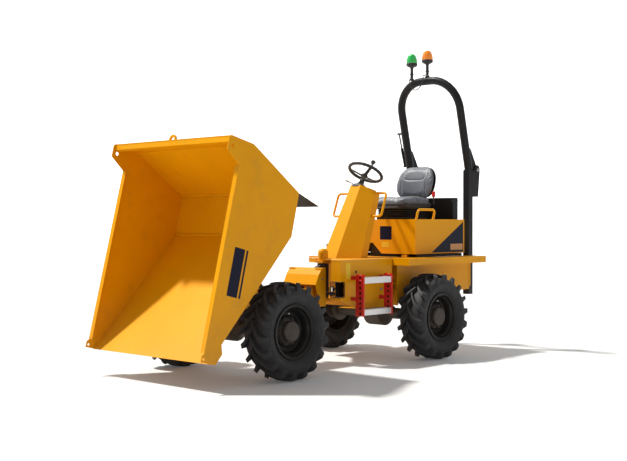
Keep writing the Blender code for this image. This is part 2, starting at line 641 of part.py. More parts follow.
def centre_pivot(turntable):
    """Bearing tube round the king pin, trunnion shaft and steering arm; it turns but never rolls."""
    low, high = LOWER_EYE_Z + JOINT_GAP, UPPER_EYE_Z - JOINT_GAP
    y = PIVOT_Y
    ring = [(PIVOT_TUBE_RADIUS, low), (PIVOT_TUBE_RADIUS, high), (PIVOT_PIN_RADIUS + 0.0005, high),
            (PIVOT_PIN_RADIUS + 0.0005, low)]
    bm = turned(ring, (0, 0, 0), (0, 0, 1), 24, closed=True)
    knuckle = add_object("centre_pivot", bm, PAINT, turntable)
    flange_y = TOWER_REAR + JOINT_GAP - y
    web = [(-0.036, low + 0.02), (flange_y + 0.002, low + 0.010), (flange_y + 0.002, high - 0.06), (-0.036, high - 0.01)]
    arm = [(-0.01, flange_y + 0.030), (0.070, flange_y + 0.018), (0.206, flange_y + 0.006)]
    arm += arc((RAM_EYE.x, RAM_EYE.y - y), 0.030, -120, 90, 8) + [(0.10, flange_y + 0.085), (-0.01, flange_y + 0.085)]
    weld(knuckle,
         prism(web, "X", -0.022, 0.022),
         turned([(0, 0), (0.075, 0), (0.075, 0.016), (0, 0.016)], (0, flange_y, TRUNNION_Z), (0, 1, 0), 24),
         rod((0, flange_y - 0.110, TRUNNION_Z), (0, flange_y + 0.003, TRUNNION_Z), TRUNNION_RADIUS, 24),
         prism(arm, "Z", 0.600, 0.620),
         rod((RAM_EYE.x, RAM_EYE.y - y, 0.592), (RAM_EYE.x, RAM_EYE.y - y, 0.625), 0.016, 12))
    return knuckle


def front_frame(body):
    """Two deep side plates, nose, cross plates, ram ears, hinge pin and trunnion block; one weldment."""
    y0, z0 = PIVOT_Y, TRUNNION_Z
    inner = FRONT_PLATE_X - 0.012

    def local(points):
        return [(y - y0, z - z0) for y, z in points]

    side = [(-0.240, 0.480), (-0.240, 0.600), (-0.030, 0.660)]
    side += arc((SKIP_HINGE.y, SKIP_HINGE.z), 0.050, 165, 15, 6)
    side += [(0.240, 0.660), (0.860, 0.660), (0.860, 0.340), (0.600, 0.300), (0.300, 0.480)]
    side = local(side)
    block = local([(0.800, 0.500), (0.860, 0.690), (0.905, 0.790), (TOWER_REAR, 0.790), (TOWER_REAR, 0.500)])
    frame = add_object("front_frame", prism(side, "X", inner, FRONT_PLATE_X), PAINT, body)
    hinge = Vector((0, SKIP_HINGE.y - y0, SKIP_HINGE.z - z0))
    reach = Vector((0.165, 0, 0))
    weld(frame,
         prism(side, "X", -FRONT_PLATE_X, -inner),
         prism(block, "X", -inner - 0.002, inner + 0.002),
         box((-inner - 0.001, -0.238 - y0, 0.483 - z0), (inner + 0.001, -0.226 - y0, 0.597 - z0)),
         box((-inner - 0.001, 0.215 - y0, 0.484 - z0), (inner + 0.001, 0.227 - y0, 0.640 - z0)),
         box((-inner - 0.001, 0.604 - y0, 0.315 - z0), (inner + 0.001, 0.850 - y0, 0.327 - z0)),
         rod(hinge - reach, hinge + reach, 0.022, 18))
    base = TIPPING_BASE - Vector((0, y0, z0))
    ears = arc((base.y, base.z), 0.030, -20, 200, 8) + [(base.y - 0.045, 0.322 - z0), (base.y + 0.045, 0.322 - z0)]
    weld(frame, *(prism(ears, "X", *sorted((sign * 0.034, sign * 0.046))) for sign in (1, -1)),
         rod((-0.052, *base.yz), (0.052, *base.yz), 0.015, 14))
    cut(frame, rod((0, 0.82 - y0, 0), (0, 1.0 - y0, 0), TRUNNION_RADIUS + 0.0006, 20))
    return frame


def tower_cover(body):
    """Folded sheet over the trunnion block, with flared cheeks."""
    y0, z0 = PIVOT_Y, TRUNNION_Z
    cheek = [(0.815, 0.690), (0.855, 0.775), (0.900, TOWER_TOP), (TOWER_REAR, TOWER_TOP), (TOWER_REAR, 0.500),
             (0.875, 0.500)]
    cheek = [(y - y0, z - z0) for y, z in cheek]
    cover = add_object("tower_cover", prism(cheek, "X", TOWER_X - SHEET, TOWER_X), PAINT, body)
    line = [(TOWER_REAR, TOWER_TOP), (0.900, TOWER_TOP), (0.855, 0.775), (0.815, 0.690)]
    fold = folded_plate([(y - y0, z - z0) for y, z in line], SHEET)
    weld(cover, prism(cheek, "X", -TOWER_X, -TOWER_X + SHEET),
         prism(fold, "X", -TOWER_X + 0.001, TOWER_X - 0.001),
         *(box((sign * (FRONT_PLATE_X + GAP) if sign > 0 else -TOWER_X + 0.002, 0.885 - y0, 0.560 - z0),
               (TOWER_X - 0.002 if sign > 0 else -FRONT_PLATE_X - GAP, 0.893 - y0, 0.830 - z0)) for sign in (1, -1)))
    return cover


def steering_ram(root, turntable):
    """Barrel on a pin inside the rear frame; the rod eye runs free just above the steering arm."""
    anchor, eye = RAM_ANCHOR, RAM_EYE
    line = eye - anchor
    heading = math.atan2(line.x, -line.y)
    barrel_axis = make_empty("steering_ram_axis", anchor, root, (0, 0, heading))
    length = line.length
    barrel = add_object("steering_ram_barrel", turned([(0, 0), (0.026, 0), (0.026, -0.255), (0, -0.255)],
                                                      (0, -0.025, 0), (0, 1, 0), 16), BLACK_PAINT, barrel_axis)
    weld(barrel, rod((0, 0, -0.020), (0, 0, 0.020), 0.028, 16))
    cut(barrel, rod((0, 0, -0.030), (0, 0, 0.030), 0.012, 12))
    bore = turned([(0, 0), (0.0135, 0), (0.0135, -0.215), (0, -0.215)], (0, -0.075, 0), (0, 1, 0), 16)
    cut(barrel, bore)
    rod_axis = make_empty("steering_rod_axis", (0, 0, 0), barrel_axis)
    piston = add_object("steering_ram_rod", rod((0, -0.262, 0), (0, -length + 0.015, 0), 0.0125, 14), STEEL, rod_axis)
    weld(piston, rod((0, -length, -0.017), (0, -length, 0.017), 0.026, 16),
         rod((0, -length, 0.015), (0, -length, 0.026), 0.014, 12))
    return barrel, piston


# ---------------------------------------------------------------- skip

def skip_point(behind_lip, below_rim):
    """A point of the level skip's side view, measured from its hinge."""
    return (behind_lip - SKIP_LIP_AHEAD, SKIP_RIM_ABOVE - below_rim)


def skip_sides(hinge):
    """Flat side plates with an inward rim flange, a lifting ear and a lashing tab."""
    outline = [(-0.053, -0.018), (-0.006, -0.018), (0.012, 0.0), (1.416, 0.0), (1.500, -0.139), (1.594, -0.139),
               (1.608, -0.125), (1.608, 0.110), (1.379, 0.664), (1.030, 0.664), (0.100, 0.149), (0.035, 0.173),
               (-0.053, 0.126)]
    outline = [skip_point(*pair) for pair in outline]
    flange = [skip_point(*pair) for pair in ((0.016, 0.0002), (1.412, 0.0002), (1.412, 0.0062), (0.016, 0.0062))]
    for sign, name in ((1, "skip_side_left"), (-1, "skip_side_right")):
        outer, face, lip = (sign * x for x in (SKIP_HALF_WIDTH, SKIP_HALF_WIDTH - SKIP_PLATE, SKIP_HALF_WIDTH - 0.042))
        plate = add_object(name, prism(outline, "X", face, outer), PAINT, hinge)
        weld(plate, prism(flange, "X", lip, face + sign * 0.001))
        for hole, radius in (((1.535, -0.092), 0.016), ((-0.028, 0.004), 0.010)):
            y, z = skip_point(*hole)
            cut(plate, rod((sign * 0.68, y, z), (sign * 0.72, y, z), radius, 12))


def skip_body(hinge):
    """One folded plate: rear wall, sloping rear, flat bottom, front slope and boxed lip, with
    the hinge brackets and the ram's lug plates welded below."""
    line = [(1.608, -0.120), (1.608, 0.110), (1.379, 0.664), (1.030, 0.664), (-0.050, 0.0665),
            (-0.047, 0.122), (0.035, 0.165), (0.088, 0.1495)]
    points = [skip_point(*pair) for pair in line]
    outline = folded_plate(points, -SKIP_PLATE)
    half = SKIP_HALF_WIDTH - SKIP_PLATE - GAP
    body = add_object("skip_floor", prism(outline, "X", -half, half), PAINT, hinge)
    eye = [(a, b) for a, b in arc((0, 0), 0.045, 180, 360, 8)]
    bracket = eye + [(0.200, 0.2449), (-0.100, 0.4107)]
    for sign in (1, -1):
        low, high = sorted((sign * 0.134, sign * 0.150))
        weld(body, prism(bracket, "X", low, high))
    lug_eye = Vector(RAM_LUG)
    lug = [tuple(lug_eye + Vector(p)) for p in arc((0, 0), 0.034, 200, 360, 6)]
    lug += [(0.290, 0.1964), (0.070, 0.3180)]
    for sign in (1, -1):
        low, high = sorted((sign * 0.035, sign * 0.047))
        weld(body, prism(lug, "X", low, high))
    weld(body, box((-0.038, 0.120, 0.240), (0.038, 0.128, 0.2862)))
    cut(body, *(rod((sign * 0.125, 0, 0), (sign * 0.160, 0, 0), 0.0230, 18) for sign in (1, -1)))
    return body


def skip_details(hinge):
    """Boxed top edge, the lifting eye behind it, and the guard plate under the rear corner."""
    half = SKIP_HALF_WIDTH - SKIP_PLATE - GAP
    top = [skip_point(*pair) for pair in ((1.6015, -0.118), (1.560, -0.118), (1.560, -0.070), (1.6015, -0.070))]
    add_object("skip_top_beam", prism(top, "X", -half, half), PAINT, hinge)
    foot_y, eye_z = skip_point(1.608 + GAP, -0.100)
    ring = [(-0.042, foot_y)] + arc((0, foot_y + 0.006), 0.042, 180, 0, 9) + [(0.042, foot_y), (0.024, foot_y)]
    ring += arc((0, foot_y + 0.006), 0.024, 0, 180, 7) + [(-0.024, foot_y)]
    add_object("lifting_eye", prism(ring, "Z", eye_z - 0.007, eye_z + 0.007), PAINT, hinge)
    guard_line = [skip_point(1.3775, 0.6645 + GAP), skip_point(1.334, 0.915)]
    guard = folded_plate(guard_line, 0.006)
    add_object("skip_guard", prism(guard, "X", -0.690, 0.690), BLACK_PAINT, hinge)


def tipping_ram(front_body, hinge):
    """Ram between the front frame's belly plate and the skip's lug plates; its eye runs free
    between them, and the pin's two heads are on the plates."""
    base = TIPPING_BASE - Vector((0, PIVOT_Y, TRUNNION_Z))
    turn = Matrix.Rotation(TIP_ANGLE, 4, "X")
    lug = turn @ Vector((0, *RAM_LUG))
    eye = Vector((0, SKIP_HINGE.y - PIVOT_Y, SKIP_HINGE.z - TRUNNION_Z)) + lug
    line = eye - base
    pitch = math.atan2(line.z, -line.y)
    length = line.length
    barrel_axis = make_empty("tipping_ram_axis", base, front_body, (-pitch, 0, 0))
    barrel = add_object("tipping_ram_barrel", turned([(0, 0), (0.036, 0), (0.036, -0.455), (0, -0.455)],
                                                     (0, -0.030, 0), (0, 1, 0), 18), BLACK_PAINT, barrel_axis)
    weld(barrel, rod((-0.028, 0, 0), (0.028, 0, 0), 0.034, 16))
    cut(barrel, rod((-0.040, 0, 0), (0.040, 0, 0), 0.0165, 14))
    cut(barrel, turned([(0, 0), (0.0205, 0), (0.0205, -0.400), (0, -0.400)], (0, -0.100, 0), (0, 1, 0), 18))
    rod_axis = make_empty("tipping_rod_axis", (0, 0, 0), barrel_axis)
    piston = add_object("tipping_ram_rod", rod((0, -0.470, 0), (0, -length + 0.020, 0), 0.0195, 16), STEEL, rod_axis)
    weld(piston, rod((-0.026, -length, 0), (0.026, -length, 0), 0.030, 16))
    return barrel, piston


def build():
    clear_scene()
    root = make_empty("front_axle_datum", (0, FRONT_AXLE_Y, 0))
    rear_frame(root)
    floor_plate(root)
    running_board(root, 1, "running_board_left")
    running_board(root, -1, "running_board_right")
    engine(root)
    side_box(root)
    right_tank(root)
    access_step(root)
    steering_console(root)
    steering_wheel(root)
    engine_cover(root)
    hoop_posts(root)
    folding_hoop(root)

    turntable = make_empty("articulation_axis", (0, PIVOT_Y, 0), root)
    centre_pivot(turntable)
    front = make_empty("oscillation_axis", (0, 0, TRUNNION_Z), turntable)
    front_frame(front)
    tower_cover(front)
    steering_ram(root, turntable)

    axle("rear_axle", root, Vector((0, WHEELBASE, TYRE_RADIUS)), FRAME_SIDE_X - 0.005, 0.1170)
    axle("front_axle", front, Vector((0, -PIVOT_Y, TYRE_RADIUS - TRUNNION_Z)), FRONT_PLATE_X + 0.010, 0.0970)
    meshes = wheel_meshes()
    for side, word in ((1, "left"), (-1, "right")):
        wheel(meshes, f"rear_{word}", side, root, (side * TRACK / 2, WHEELBASE, TYRE_RADIUS))
        wheel(meshes, f"front_{word}", side, front, (side * TRACK / 2, -PIVOT_Y, TYRE_RADIUS - TRUNNION_Z))
    for mesh in meshes.values():
        bpy.data.meshes.remove(mesh)

    hinge = make_empty("skip_hinge", SKIP_HINGE - Vector((0, PIVOT_Y, TRUNNION_Z)), front, (TIP_ANGLE, 0, 0))
    skip_body(hinge)
    skip_sides(hinge)
    skip_details(hinge)
    tipping_ram(front, hinge)


build()
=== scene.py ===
import json
import math
import random

import bmesh
import bpy
from mathutils import Matrix, Vector


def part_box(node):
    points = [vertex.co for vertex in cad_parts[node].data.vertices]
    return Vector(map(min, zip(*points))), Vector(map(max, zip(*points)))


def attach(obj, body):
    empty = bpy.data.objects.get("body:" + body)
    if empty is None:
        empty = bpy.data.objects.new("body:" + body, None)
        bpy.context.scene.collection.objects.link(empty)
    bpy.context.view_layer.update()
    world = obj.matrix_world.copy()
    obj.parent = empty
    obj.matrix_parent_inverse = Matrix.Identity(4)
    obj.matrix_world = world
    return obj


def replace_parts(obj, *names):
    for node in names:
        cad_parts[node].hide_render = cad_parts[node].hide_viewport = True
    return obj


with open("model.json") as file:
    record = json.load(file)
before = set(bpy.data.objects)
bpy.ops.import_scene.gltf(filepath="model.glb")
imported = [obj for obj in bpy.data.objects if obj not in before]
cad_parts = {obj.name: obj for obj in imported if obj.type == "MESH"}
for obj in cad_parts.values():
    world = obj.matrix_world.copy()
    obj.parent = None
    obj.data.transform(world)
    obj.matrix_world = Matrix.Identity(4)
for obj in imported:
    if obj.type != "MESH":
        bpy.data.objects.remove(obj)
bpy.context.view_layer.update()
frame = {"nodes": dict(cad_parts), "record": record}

# ---- Camera -------------------------------------------------------------------------------
# A long lens at chest height, off the front left corner of the machine. Every place below is
# measured from the front axle, which is the middle of the front tyres.
front_tyre_low, front_tyre_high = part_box("tyre_front_left")
rear_tyre_low, rear_tyre_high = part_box("tyre_rear_left")
AXLE_Y = (front_tyre_low.y + front_tyre_high.y) / 2
WHEELBASE = (rear_tyre_low.y + rear_tyre_high.y) / 2 - AXLE_Y
joint_by_name = {joint["name"]: joint for joint in frame["record"]["behaviour"]["joints"]}

camera = bpy.data.objects.new("camera", bpy.data.cameras.new("camera"))
bpy.context.collection.objects.link(camera)
camera.location = (6.617, AXLE_Y - 6.018, 1.228)
camera.rotation_euler = (math.radians(89.57), 0, math.radians(43.33))
camera.data.sensor_width = 36
camera.data.lens = 62.7
camera.data.clip_end = 200
bpy.context.scene.camera = camera
bpy.context.scene.view_settings.view_transform = "Standard"


# ---- Studio -------------------------------------------------------------------------------
# A pale floor before a pale wall, a high sun over the machine's right front corner, and even
# light from the air.

class Shade:
    """One socket of a shader tree; sums on it add Math nodes."""

    def __init__(self, tree, socket=None):
        self.tree = tree
        self.socket = socket

    def node(self, kind, settings=None, inputs=None, out=0):
        """Any node: its settings first, then its sockets' values or links."""
        made = self.tree.nodes.new("ShaderNode" + kind)
        for key, value in (settings or {}).items():
            setattr(made, key, value)
        for key, value in (inputs or {}).items():
            if isinstance(value, Shade):
                self.tree.links.new(value.socket, made.inputs[key])
            else:
                made.inputs[key].default_value = value
        return Shade(self.tree, made.outputs[out] if made.outputs else None)

    def maths(self, operation, first, second=0.0, clamp=False):
        return self.node("Math", {"operation": operation, "use_clamp": clamp}, {0: first, 1: second})

    def __add__(self, other):
        return self.maths("ADD", self, other)

    __radd__ = __add__

    def __mul__(self, other):
        return self.maths("MULTIPLY", self, other)

    __rmul__ = __mul__

    def __sub__(self, other):
        return self.maths("SUBTRACT", self, other)

    def __rsub__(self, other):
        return self.maths("SUBTRACT", other, self)

    def sine(self):
        return self.maths("SINE", self)

    def held(self):
        """The value kept between 0 and 1."""
        return self.maths("ADD", self, 0.0, clamp=True)

    def mix(self, under, top):
        """This value blends from one colour to another."""
        under, top = (c if isinstance(c, Shade) else (*c, 1) for c in (under, top))
        return self.node("Mix", {"data_type": "RGBA"}, {0: self, 6: under, 7: top}, 2)

    def noise(self, scale, detail=2.0, stretch=None):
        """Noise over this vector, stretched along the axes when asked."""
        place = self
        if stretch:
            place = self.node("VectorMath", {"operation": "MULTIPLY"}, {0: self, 1: stretch})
        return self.node("TexNoise", None, {"Vector": place, "Scale": scale, "Detail": detail})

    def axis(self, letter):
        return self.node("SeparateXYZ", None, {0: self}, "XYZ".index(letter))


def start_finish(name):
    """A new material, its shader tree and the coordinates of the piece at rest."""
    material = bpy.data.materials.new(name)
    material.use_nodes = True
    material.node_tree.nodes.clear()
    shade = Shade(material.node_tree)
    return material, shade, shade.node("TexCoord", out=3)


def close_finish(material, shade, colour, roughness, metallic=0.0, height=None, depth=0.001,
                 strength=0.5, fixed=None):
    inputs = {"Base Color": colour if isinstance(colour, Shade) else (*colour, 1),
              "Roughness": roughness, "Metallic": metallic}
    inputs.update(fixed or {})
    if height is not None:
        relief = {"Strength": strength, "Distance": depth, "Height": height}
        inputs["Normal"] = shade.node("Bump", None, relief)
    surface = shade.node("BsdfPrincipled", None, inputs)
    shade.node("OutputMaterial", None, {"Surface": surface})
    return material


def pale(name, colour, glow):
    material, shade, place = start_finish(name)
    cloud = place.noise(0.8, 3.0)
    return close_finish(material, shade, cloud.mix(tuple(c * 0.97 for c in colour), colour), 0.8,
                        fixed={"Emission Color": (1, 1, 1, 1), "Emission Strength": glow})


def sheet_of(name, corners, finish):
    bm = bmesh.new()
    bm.faces.new([bm.verts.new(c) for c in corners])
    bmesh.ops.subdivide_edges(bm, edges=bm.edges, cuts=5, use_grid_fill=True)
    mesh = bpy.data.meshes.new(name)
    bm.to_mesh(mesh)
    bm.free()
    mesh.materials.append(finish)
    made = bpy.data.objects.new(name, mesh)
    made.rotation_euler = (0, 0, camera.rotation_euler.z)
    made.visible_shadow = False
    bpy.context.collection.objects.link(made)


SIDE, NEAR, FAR, TOP = 60, -30, 40, 45
sheet_of("floor", [(-SIDE, NEAR, 0), (SIDE, NEAR, 0), (SIDE, FAR, 0), (-SIDE, FAR, 0)],
         pale("pale_floor", (0.62, 0.62, 0.62), 0.06))
sheet_of("backdrop", [(-SIDE, FAR, -1), (SIDE, FAR, -1), (SIDE, FAR, TOP), (-SIDE, FAR, TOP)],
         pale("pale_wall", (0.9, 0.9, 0.9), 0.75))

sun = bpy.data.objects.new("sun", bpy.data.lights.new("sun", "SUN"))
sun.data.energy = 5.0
sun.data.angle = math.radians(4)
sun.data.color = (1.0, 0.97, 0.91)
sun.rotation_euler = Vector((-0.60, -0.28, 1.10)).to_track_quat("Z", "Y").to_euler()
bpy.context.collection.objects.link(sun)
world = bpy.data.worlds.new("studio_air")
world.use_nodes = True
world.node_tree.nodes["Background"].inputs[0].default_value = (0.95, 0.97, 1.0, 1)
world.node_tree.nodes["Background"].inputs[1].default_value = 0.40
bpy.context.scene.world = world


# ---- Painted steel weldments --------------------------------------------------------------
# Plate and sheet, welded, then sprayed a golden yellow enamel. The paint has a fine orange
# peel, thins to dust near the ground, and is scuffed where spoil runs over it.
YELLOW = (0.78, 0.335, 0.0)
DUST = (0.36, 0.27, 0.17)


def enamel(name, colour, scuffed=0.0, dusty=0.35, gloss=0.32):
    material, shade, place = start_finish(name)
    cloud = place.noise(2.3, 4.0)
    tone = cloud.mix(tuple(c * 0.86 for c in colour), tuple(min(c * 1.10, 1) for c in colour))
    low = ((0.70 - place.axis("Z")) * 1.6).held()
    settled = (low * place.noise(9.0, 5.0) * dusty * 1.7).held()
    tone = settled.mix(tone, DUST)
    rough = gloss + cloud * 0.10 + settled * 0.35
    peel = place.noise(260.0, 1.0)
    if scuffed:
        runs = place.noise(7.0, 5.0, (9.0, 1.0, 1.0))
        worn = ((runs - 0.56) * 9.0).held() * scuffed
        tone = worn.mix(tone, tuple(c * 0.55 + 0.03 for c in colour))
        rough = rough + worn * 0.25
        peel = peel + runs * 1.5
    return close_finish(material, shade, tone, rough.held(), 0.0, peel, 0.0005, 0.35,
                        {"Coat Weight": 0.06, "Coat Roughness": 0.15, "Specular IOR Level": 0.15})


yellow_paint = enamel("yellow_enamel", YELLOW)
skip_paint = enamel("skip_enamel", YELLOW, scuffed=0.16, dusty=0.12)
black_paint = enamel("black_enamel", (0.016, 0.016, 0.018), dusty=0.25, gloss=0.38)


def dress(node, finish, edge=0.0, segments=2):
    """Gives a CAD node its finish and breaks its sharp edges."""
    item = frame["nodes"][node]
    if item.material_slots:
        item.material_slots[0].material = finish
    else:
        item.data.materials.append(finish)
    if edge:
        flats = item.modifiers.new("flats", "DECIMATE")
        flats.decimate_type = "DISSOLVE"
        flats.angle_limit = math.radians(0.5)
        rim = item.modifiers.new("broken_edges", "BEVEL")
        rim.width = edge
        rim.segments = segments
        rim.limit_method = "ANGLE"
        rim.angle_limit = math.radians(32)


def piece(name, bm, body, finish, smooth=35):
    """Turns a mesh into a piece of the object that rides on a body."""
    bmesh.ops.recalc_face_normals(bm, faces=bm.faces)
    mesh = bpy.data.meshes.new(name)
    bm.to_mesh(mesh)
    bm.free()
    if smooth:
        mesh.shade_smooth()
        mesh.set_sharp_from_angle(angle=math.radians(smooth))
    mesh.materials.append(finish)
    made = bpy.data.objects.new(name, mesh)
    bpy.context.collection.objects.link(made)
    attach(made, body)
    return made


def skin(bm, rings, capped=True):
    """Faces between rings of points; a ring of one point closes to a tip."""
    count = max(len(ring) for ring in rings)
    for first, second in zip(rings, rings[1:]):
        for k in range(count):
            n = (k + 1) % count
            corners = (first[k % len(first)], first[n % len(first)], second[n % len(second)],
                       second[k % len(second)])
            bm.faces.new(list(dict.fromkeys(corners)))
    if capped:
        bm.faces.new(rings[0])
        bm.faces.new(rings[-1])


def turned(count, radius=1.0):
    """Points (across, up) evenly round a circle."""
    return [(radius * math.cos(2 * math.pi * k / count), radius * math.sin(2 * math.pi * k / count))
            for k in range(count)]


def spun(bm, profile, at, towards, steps=24):
    """Turns (radius, along) points round an axis; the profile starts and ends on it."""
    turn = Matrix.Translation(Vector(at)) @ Vector(towards).to_track_quat("X", "Z").to_matrix().to_4x4()
    rings = []
    for radius, along in profile:
        round_it = turned(steps, radius) if radius else [(0, 0)]
        rings.append([bm.verts.new(turn @ Vector((along, y, z))) for y, z in round_it])
    skin(bm, rings, capped=False)
    return bm


def tube(bm, path, radius, steps=14, closed=False):
    """A round bar along a path; its ends are capped unless it is closed."""
    path = [Vector(p) for p in path]
    count = len(path)
    side = None
    rings = []
    for k, at in enumerate(path):
        ahead = path[(k + 1) % count] if closed or k < count - 1 else at
        behind = path[k - 1] if closed or k > 0 else at
        along = (ahead - behind).normalized()
        if side is None:
            side = along.orthogonal().normalized()
        side = (side - along * side.dot(along)).normalized()
        other = along.cross(side)
        rings.append([bm.verts.new(at + side * x + other * y) for x, y in turned(steps, radius)])
    if closed:
        first = rings[0]
        shift = min(range(steps), key=lambda j: (rings[-1][0].co - first[j].co).length)
        rings.append(first[shift:] + first[:shift])
    skin(bm, rings, capped=not closed)
    return bm


def block(bm, low, high):
    """A box between two corners."""
    made = bmesh.ops.create_cube(bm, size=1.0)
    low, high = Vector(low), Vector(high)
    for vert in made["verts"]:
        vert.co = Vector((low[i] if vert.co[i] < 0 else high[i] for i in range(3)))
    return made["verts"]


def bolt(bm, at, towards, size):
    """A hexagon head on its washer, standing on a face; size is the head's radius."""
    at, towards = Vector(at), Vector(towards).normalized()
    spun(bm, [(0, 0), (size * 1.25, 0), (size * 1.25, size * 0.18), (0, size * 0.18)], at, towards, 16)
    spun(bm, [(0, 0), (size, 0), (size, size * 0.62), (size * 0.86, size * 0.74), (0, size * 0.74)],
         at + towards * (size * 0.18), towards, 6)
    return bm


def bent(points, radius, steps=6):
    """A path with its corners bent round."""
    points = [Vector(p) for p in points]
    path = [points[0]]
    for before, corner, after in zip(points, points[1:], points[2:]):
        back, ahead = (before - corner).normalized(), (after - corner).normalized()
        half = back.angle(ahead) / 2
        reach = min(radius / math.tan(half), 0.49 * (before - corner).length, 0.49 * (after - corner).length)
        bend = reach * math.tan(half)
        centre = corner + (back + ahead).normalized() * bend / math.sin(half)
        first, last = corner + back * reach - centre, corner + ahead * reach - centre
        path += [centre + first.slerp(last, k / steps).normalized() * bend for k in range(steps + 1)]
    path.append(points[-1])
    return path


def zinc():
    material, shade, place = start_finish("zinc_plate")
    spangle = place.noise(90.0, 3.0)
    return close_finish(material, shade, spangle.mix((0.42, 0.42, 0.40), (0.62, 0.61, 0.57)),
                        0.30 + spangle * 0.25, 1.0, spangle, 0.0004, 0.4)


bright_zinc = zinc()

for name in ("rear_frame", "front_frame", "tower_cover", "tank_right"):
    dress(name, yellow_paint, 0.0025)


# ---- Skip ---------------------------------------------------------------------------------
# One folded floor plate between two flat sides, with a boxed top edge, a guard plate and a
# lifting eye. Weld beads run where the floor meets the sides.
for name in ("skip_floor", "skip_side_left", "skip_side_right", "skip_top_beam"):
    dress(name, skip_paint, 0.0015)
dress("lifting_eye", skip_paint, 0.003, 3)
# The guard's dark brown is partly painted shade: it is darkened to stand for the shadow on the plate's
# underside.
dress("skip_guard", enamel("guard_painted_shade_enamel", (0.022, 0.012, 0.006), dusty=0.2, gloss=0.55), 0.0015)

SKIP_HINGE = Vector(joint_by_name["skip_tip"]["pos_m"])
SKIP_TIPPED = math.radians(-joint_by_name["skip_tip"]["range_deg"][0])
LIP_AHEAD, RIM_ABOVE, SKIP_HALF = 0.700, 0.835, 0.7035
SKIP_PLATE = 0.006


def on_skip(x, behind_lip, below_rim):
    """A place on the tipped skip from its level side view."""
    level = Vector((x, behind_lip - LIP_AHEAD, RIM_ABOVE - below_rim))
    return SKIP_HINGE + Matrix.Rotation(SKIP_TIPPED, 3, "X") @ level


def skip_welds():
    folds = [(1.602, -0.100), (1.602, 0.108), (1.375, 0.655), (1.034, 0.655), (-0.030, 0.072)]
    bm = bmesh.new()
    edge = SKIP_HALF - SKIP_PLATE - 0.0015
    random.seed(4)
    for sign in (1, -1):
        beads = []
        for (s0, d0), (s1, d1) in zip(folds, folds[1:]):
            count = max(2, int(math.hypot(s1 - s0, d1 - d0) / 0.012))
            beads += [on_skip(sign * edge, s0 + (s1 - s0) * k / count + random.uniform(-0.0004, 0.0004),
                              d0 + (d1 - d0) * k / count) for k in range(count)]
        tube(bm, beads, 0.0042, 8)
    piece("skip_weld_beads", bm, "skip", skip_paint)


def skip_fold_rounds():
    """The press-brake radius on the inside of each fold, as a thin fillet."""
    bm = bmesh.new()
    half = SKIP_HALF - SKIP_PLATE - 0.002
    for s, d, radius in ((1.376, 0.652, 0.011), (1.033, 0.654, 0.009)):
        tube(bm, [on_skip(-half, s, d), on_skip(half, s, d)], radius, 16)
    piece("skip_fold_rounds", bm, "skip", skip_paint)


def skip_hardware():
    """Pin heads of the hinge and of the tipping ram, on the plates under the skip."""
    bm = bmesh.new()
    for sign in (1, -1):
        bolt(bm, SKIP_HINGE + Vector((sign * 0.1658, 0, 0)), (sign, 0, 0), 0.018)
        lug = SKIP_HINGE + Matrix.Rotation(SKIP_TIPPED, 3, "X") @ Vector((sign * 0.0472, 0.190, 0.150))
        bolt(bm, lug, (sign, 0, 0), 0.019)
    piece("skip_pin_heads", bm, "skip", bright_zinc)
    bm = bmesh.new()
    for sign in (1, -1):
        for x in (0.042, 0.024):
            ends = [on_skip(sign * x, 1.6095, -0.107), on_skip(sign * x, 1.6095, -0.093)]
            tube(bm, ends, 0.0035, 8)
    piece("lifting_eye_weld", bm, "skip", skip_paint)


def decal_finish(name, colour, gloss=0.28):
    material, shade, place = start_finish(name)
    fade = place.noise(14.0, 3.0)
    tone = fade.mix(tuple(c * 0.9 for c in colour), tuple(min(c * 1.15, 1) for c in colour))
    return close_finish(material, shade, tone, gloss + fade * 0.12, 0.0, fade, 0.0002, 0.2,
                        {"Coat Weight": 0.05, "Coat Roughness": 0.2, "Specular IOR Level": 0.12})


navy_film = decal_finish("navy_film", (0.004, 0.005, 0.022))
ivory_film = decal_finish("ivory_film", (0.66, 0.62, 0.52))
tan_film = decal_finish("tan_film", (0.62, 0.33, 0.14))
lemon_film = decal_finish("lemon_film", (0.78, 0.50, 0.03))
# A near-black finish that paints the shade seen inside holes and openings.
painted_hole_shade = decal_finish("painted_shade_inside", (0.006, 0.006, 0.006), 0.8)


def film(name, corners, outward, body, finish, lift=0.0006, round_off=0.10):
    """A blank sticker with rounded corners, lifted off its plate."""
    corners = [Vector(c) for c in corners]
    outline = []
    for k, corner in enumerate(corners):
        before, after = corners[k - 1], corners[(k + 1) % len(corners)]
        reach = round_off * min((before - corner).length, (after - corner).length)
        start = corner + (before - corner).normalized() * reach
        end = corner + (after - corner).normalized() * reach
        for t in (0, 0.25, 0.5, 0.75, 1):
            outline.append(start * (1 - t) ** 2 + corner * (2 * t * (1 - t)) + end * t ** 2)
    outward = Vector(outward).normalized()
    bm = bmesh.new()
    skin(bm, [[bm.verts.new(p + outward * out) for p in outline] for out in (0.0001, lift)])
    piece(name, bm, body, finish)


def skip_films():
    """A blank navy label and its thin stripe on each side plate."""
    start, end = 0.457, 0.822
    for sign, word in ((1, "left"), (-1, "right")):
        for kind, upper, lower, round_off in (("label", 0.108, 0.212, 0.06), ("stripe", 0.228, 0.246, 0.2)):
            corners = [on_skip(sign * SKIP_HALF, s, d)
                       for s, d in ((start, upper), (end, upper), (end, lower), (start, lower))]
            film(f"skip_{kind}_{word}", corners, (sign, 0, 0), "skip", navy_film,
                 round_off=round_off)


skip_welds()
skip_fold_rounds()
skip_hardware()
skip_films()


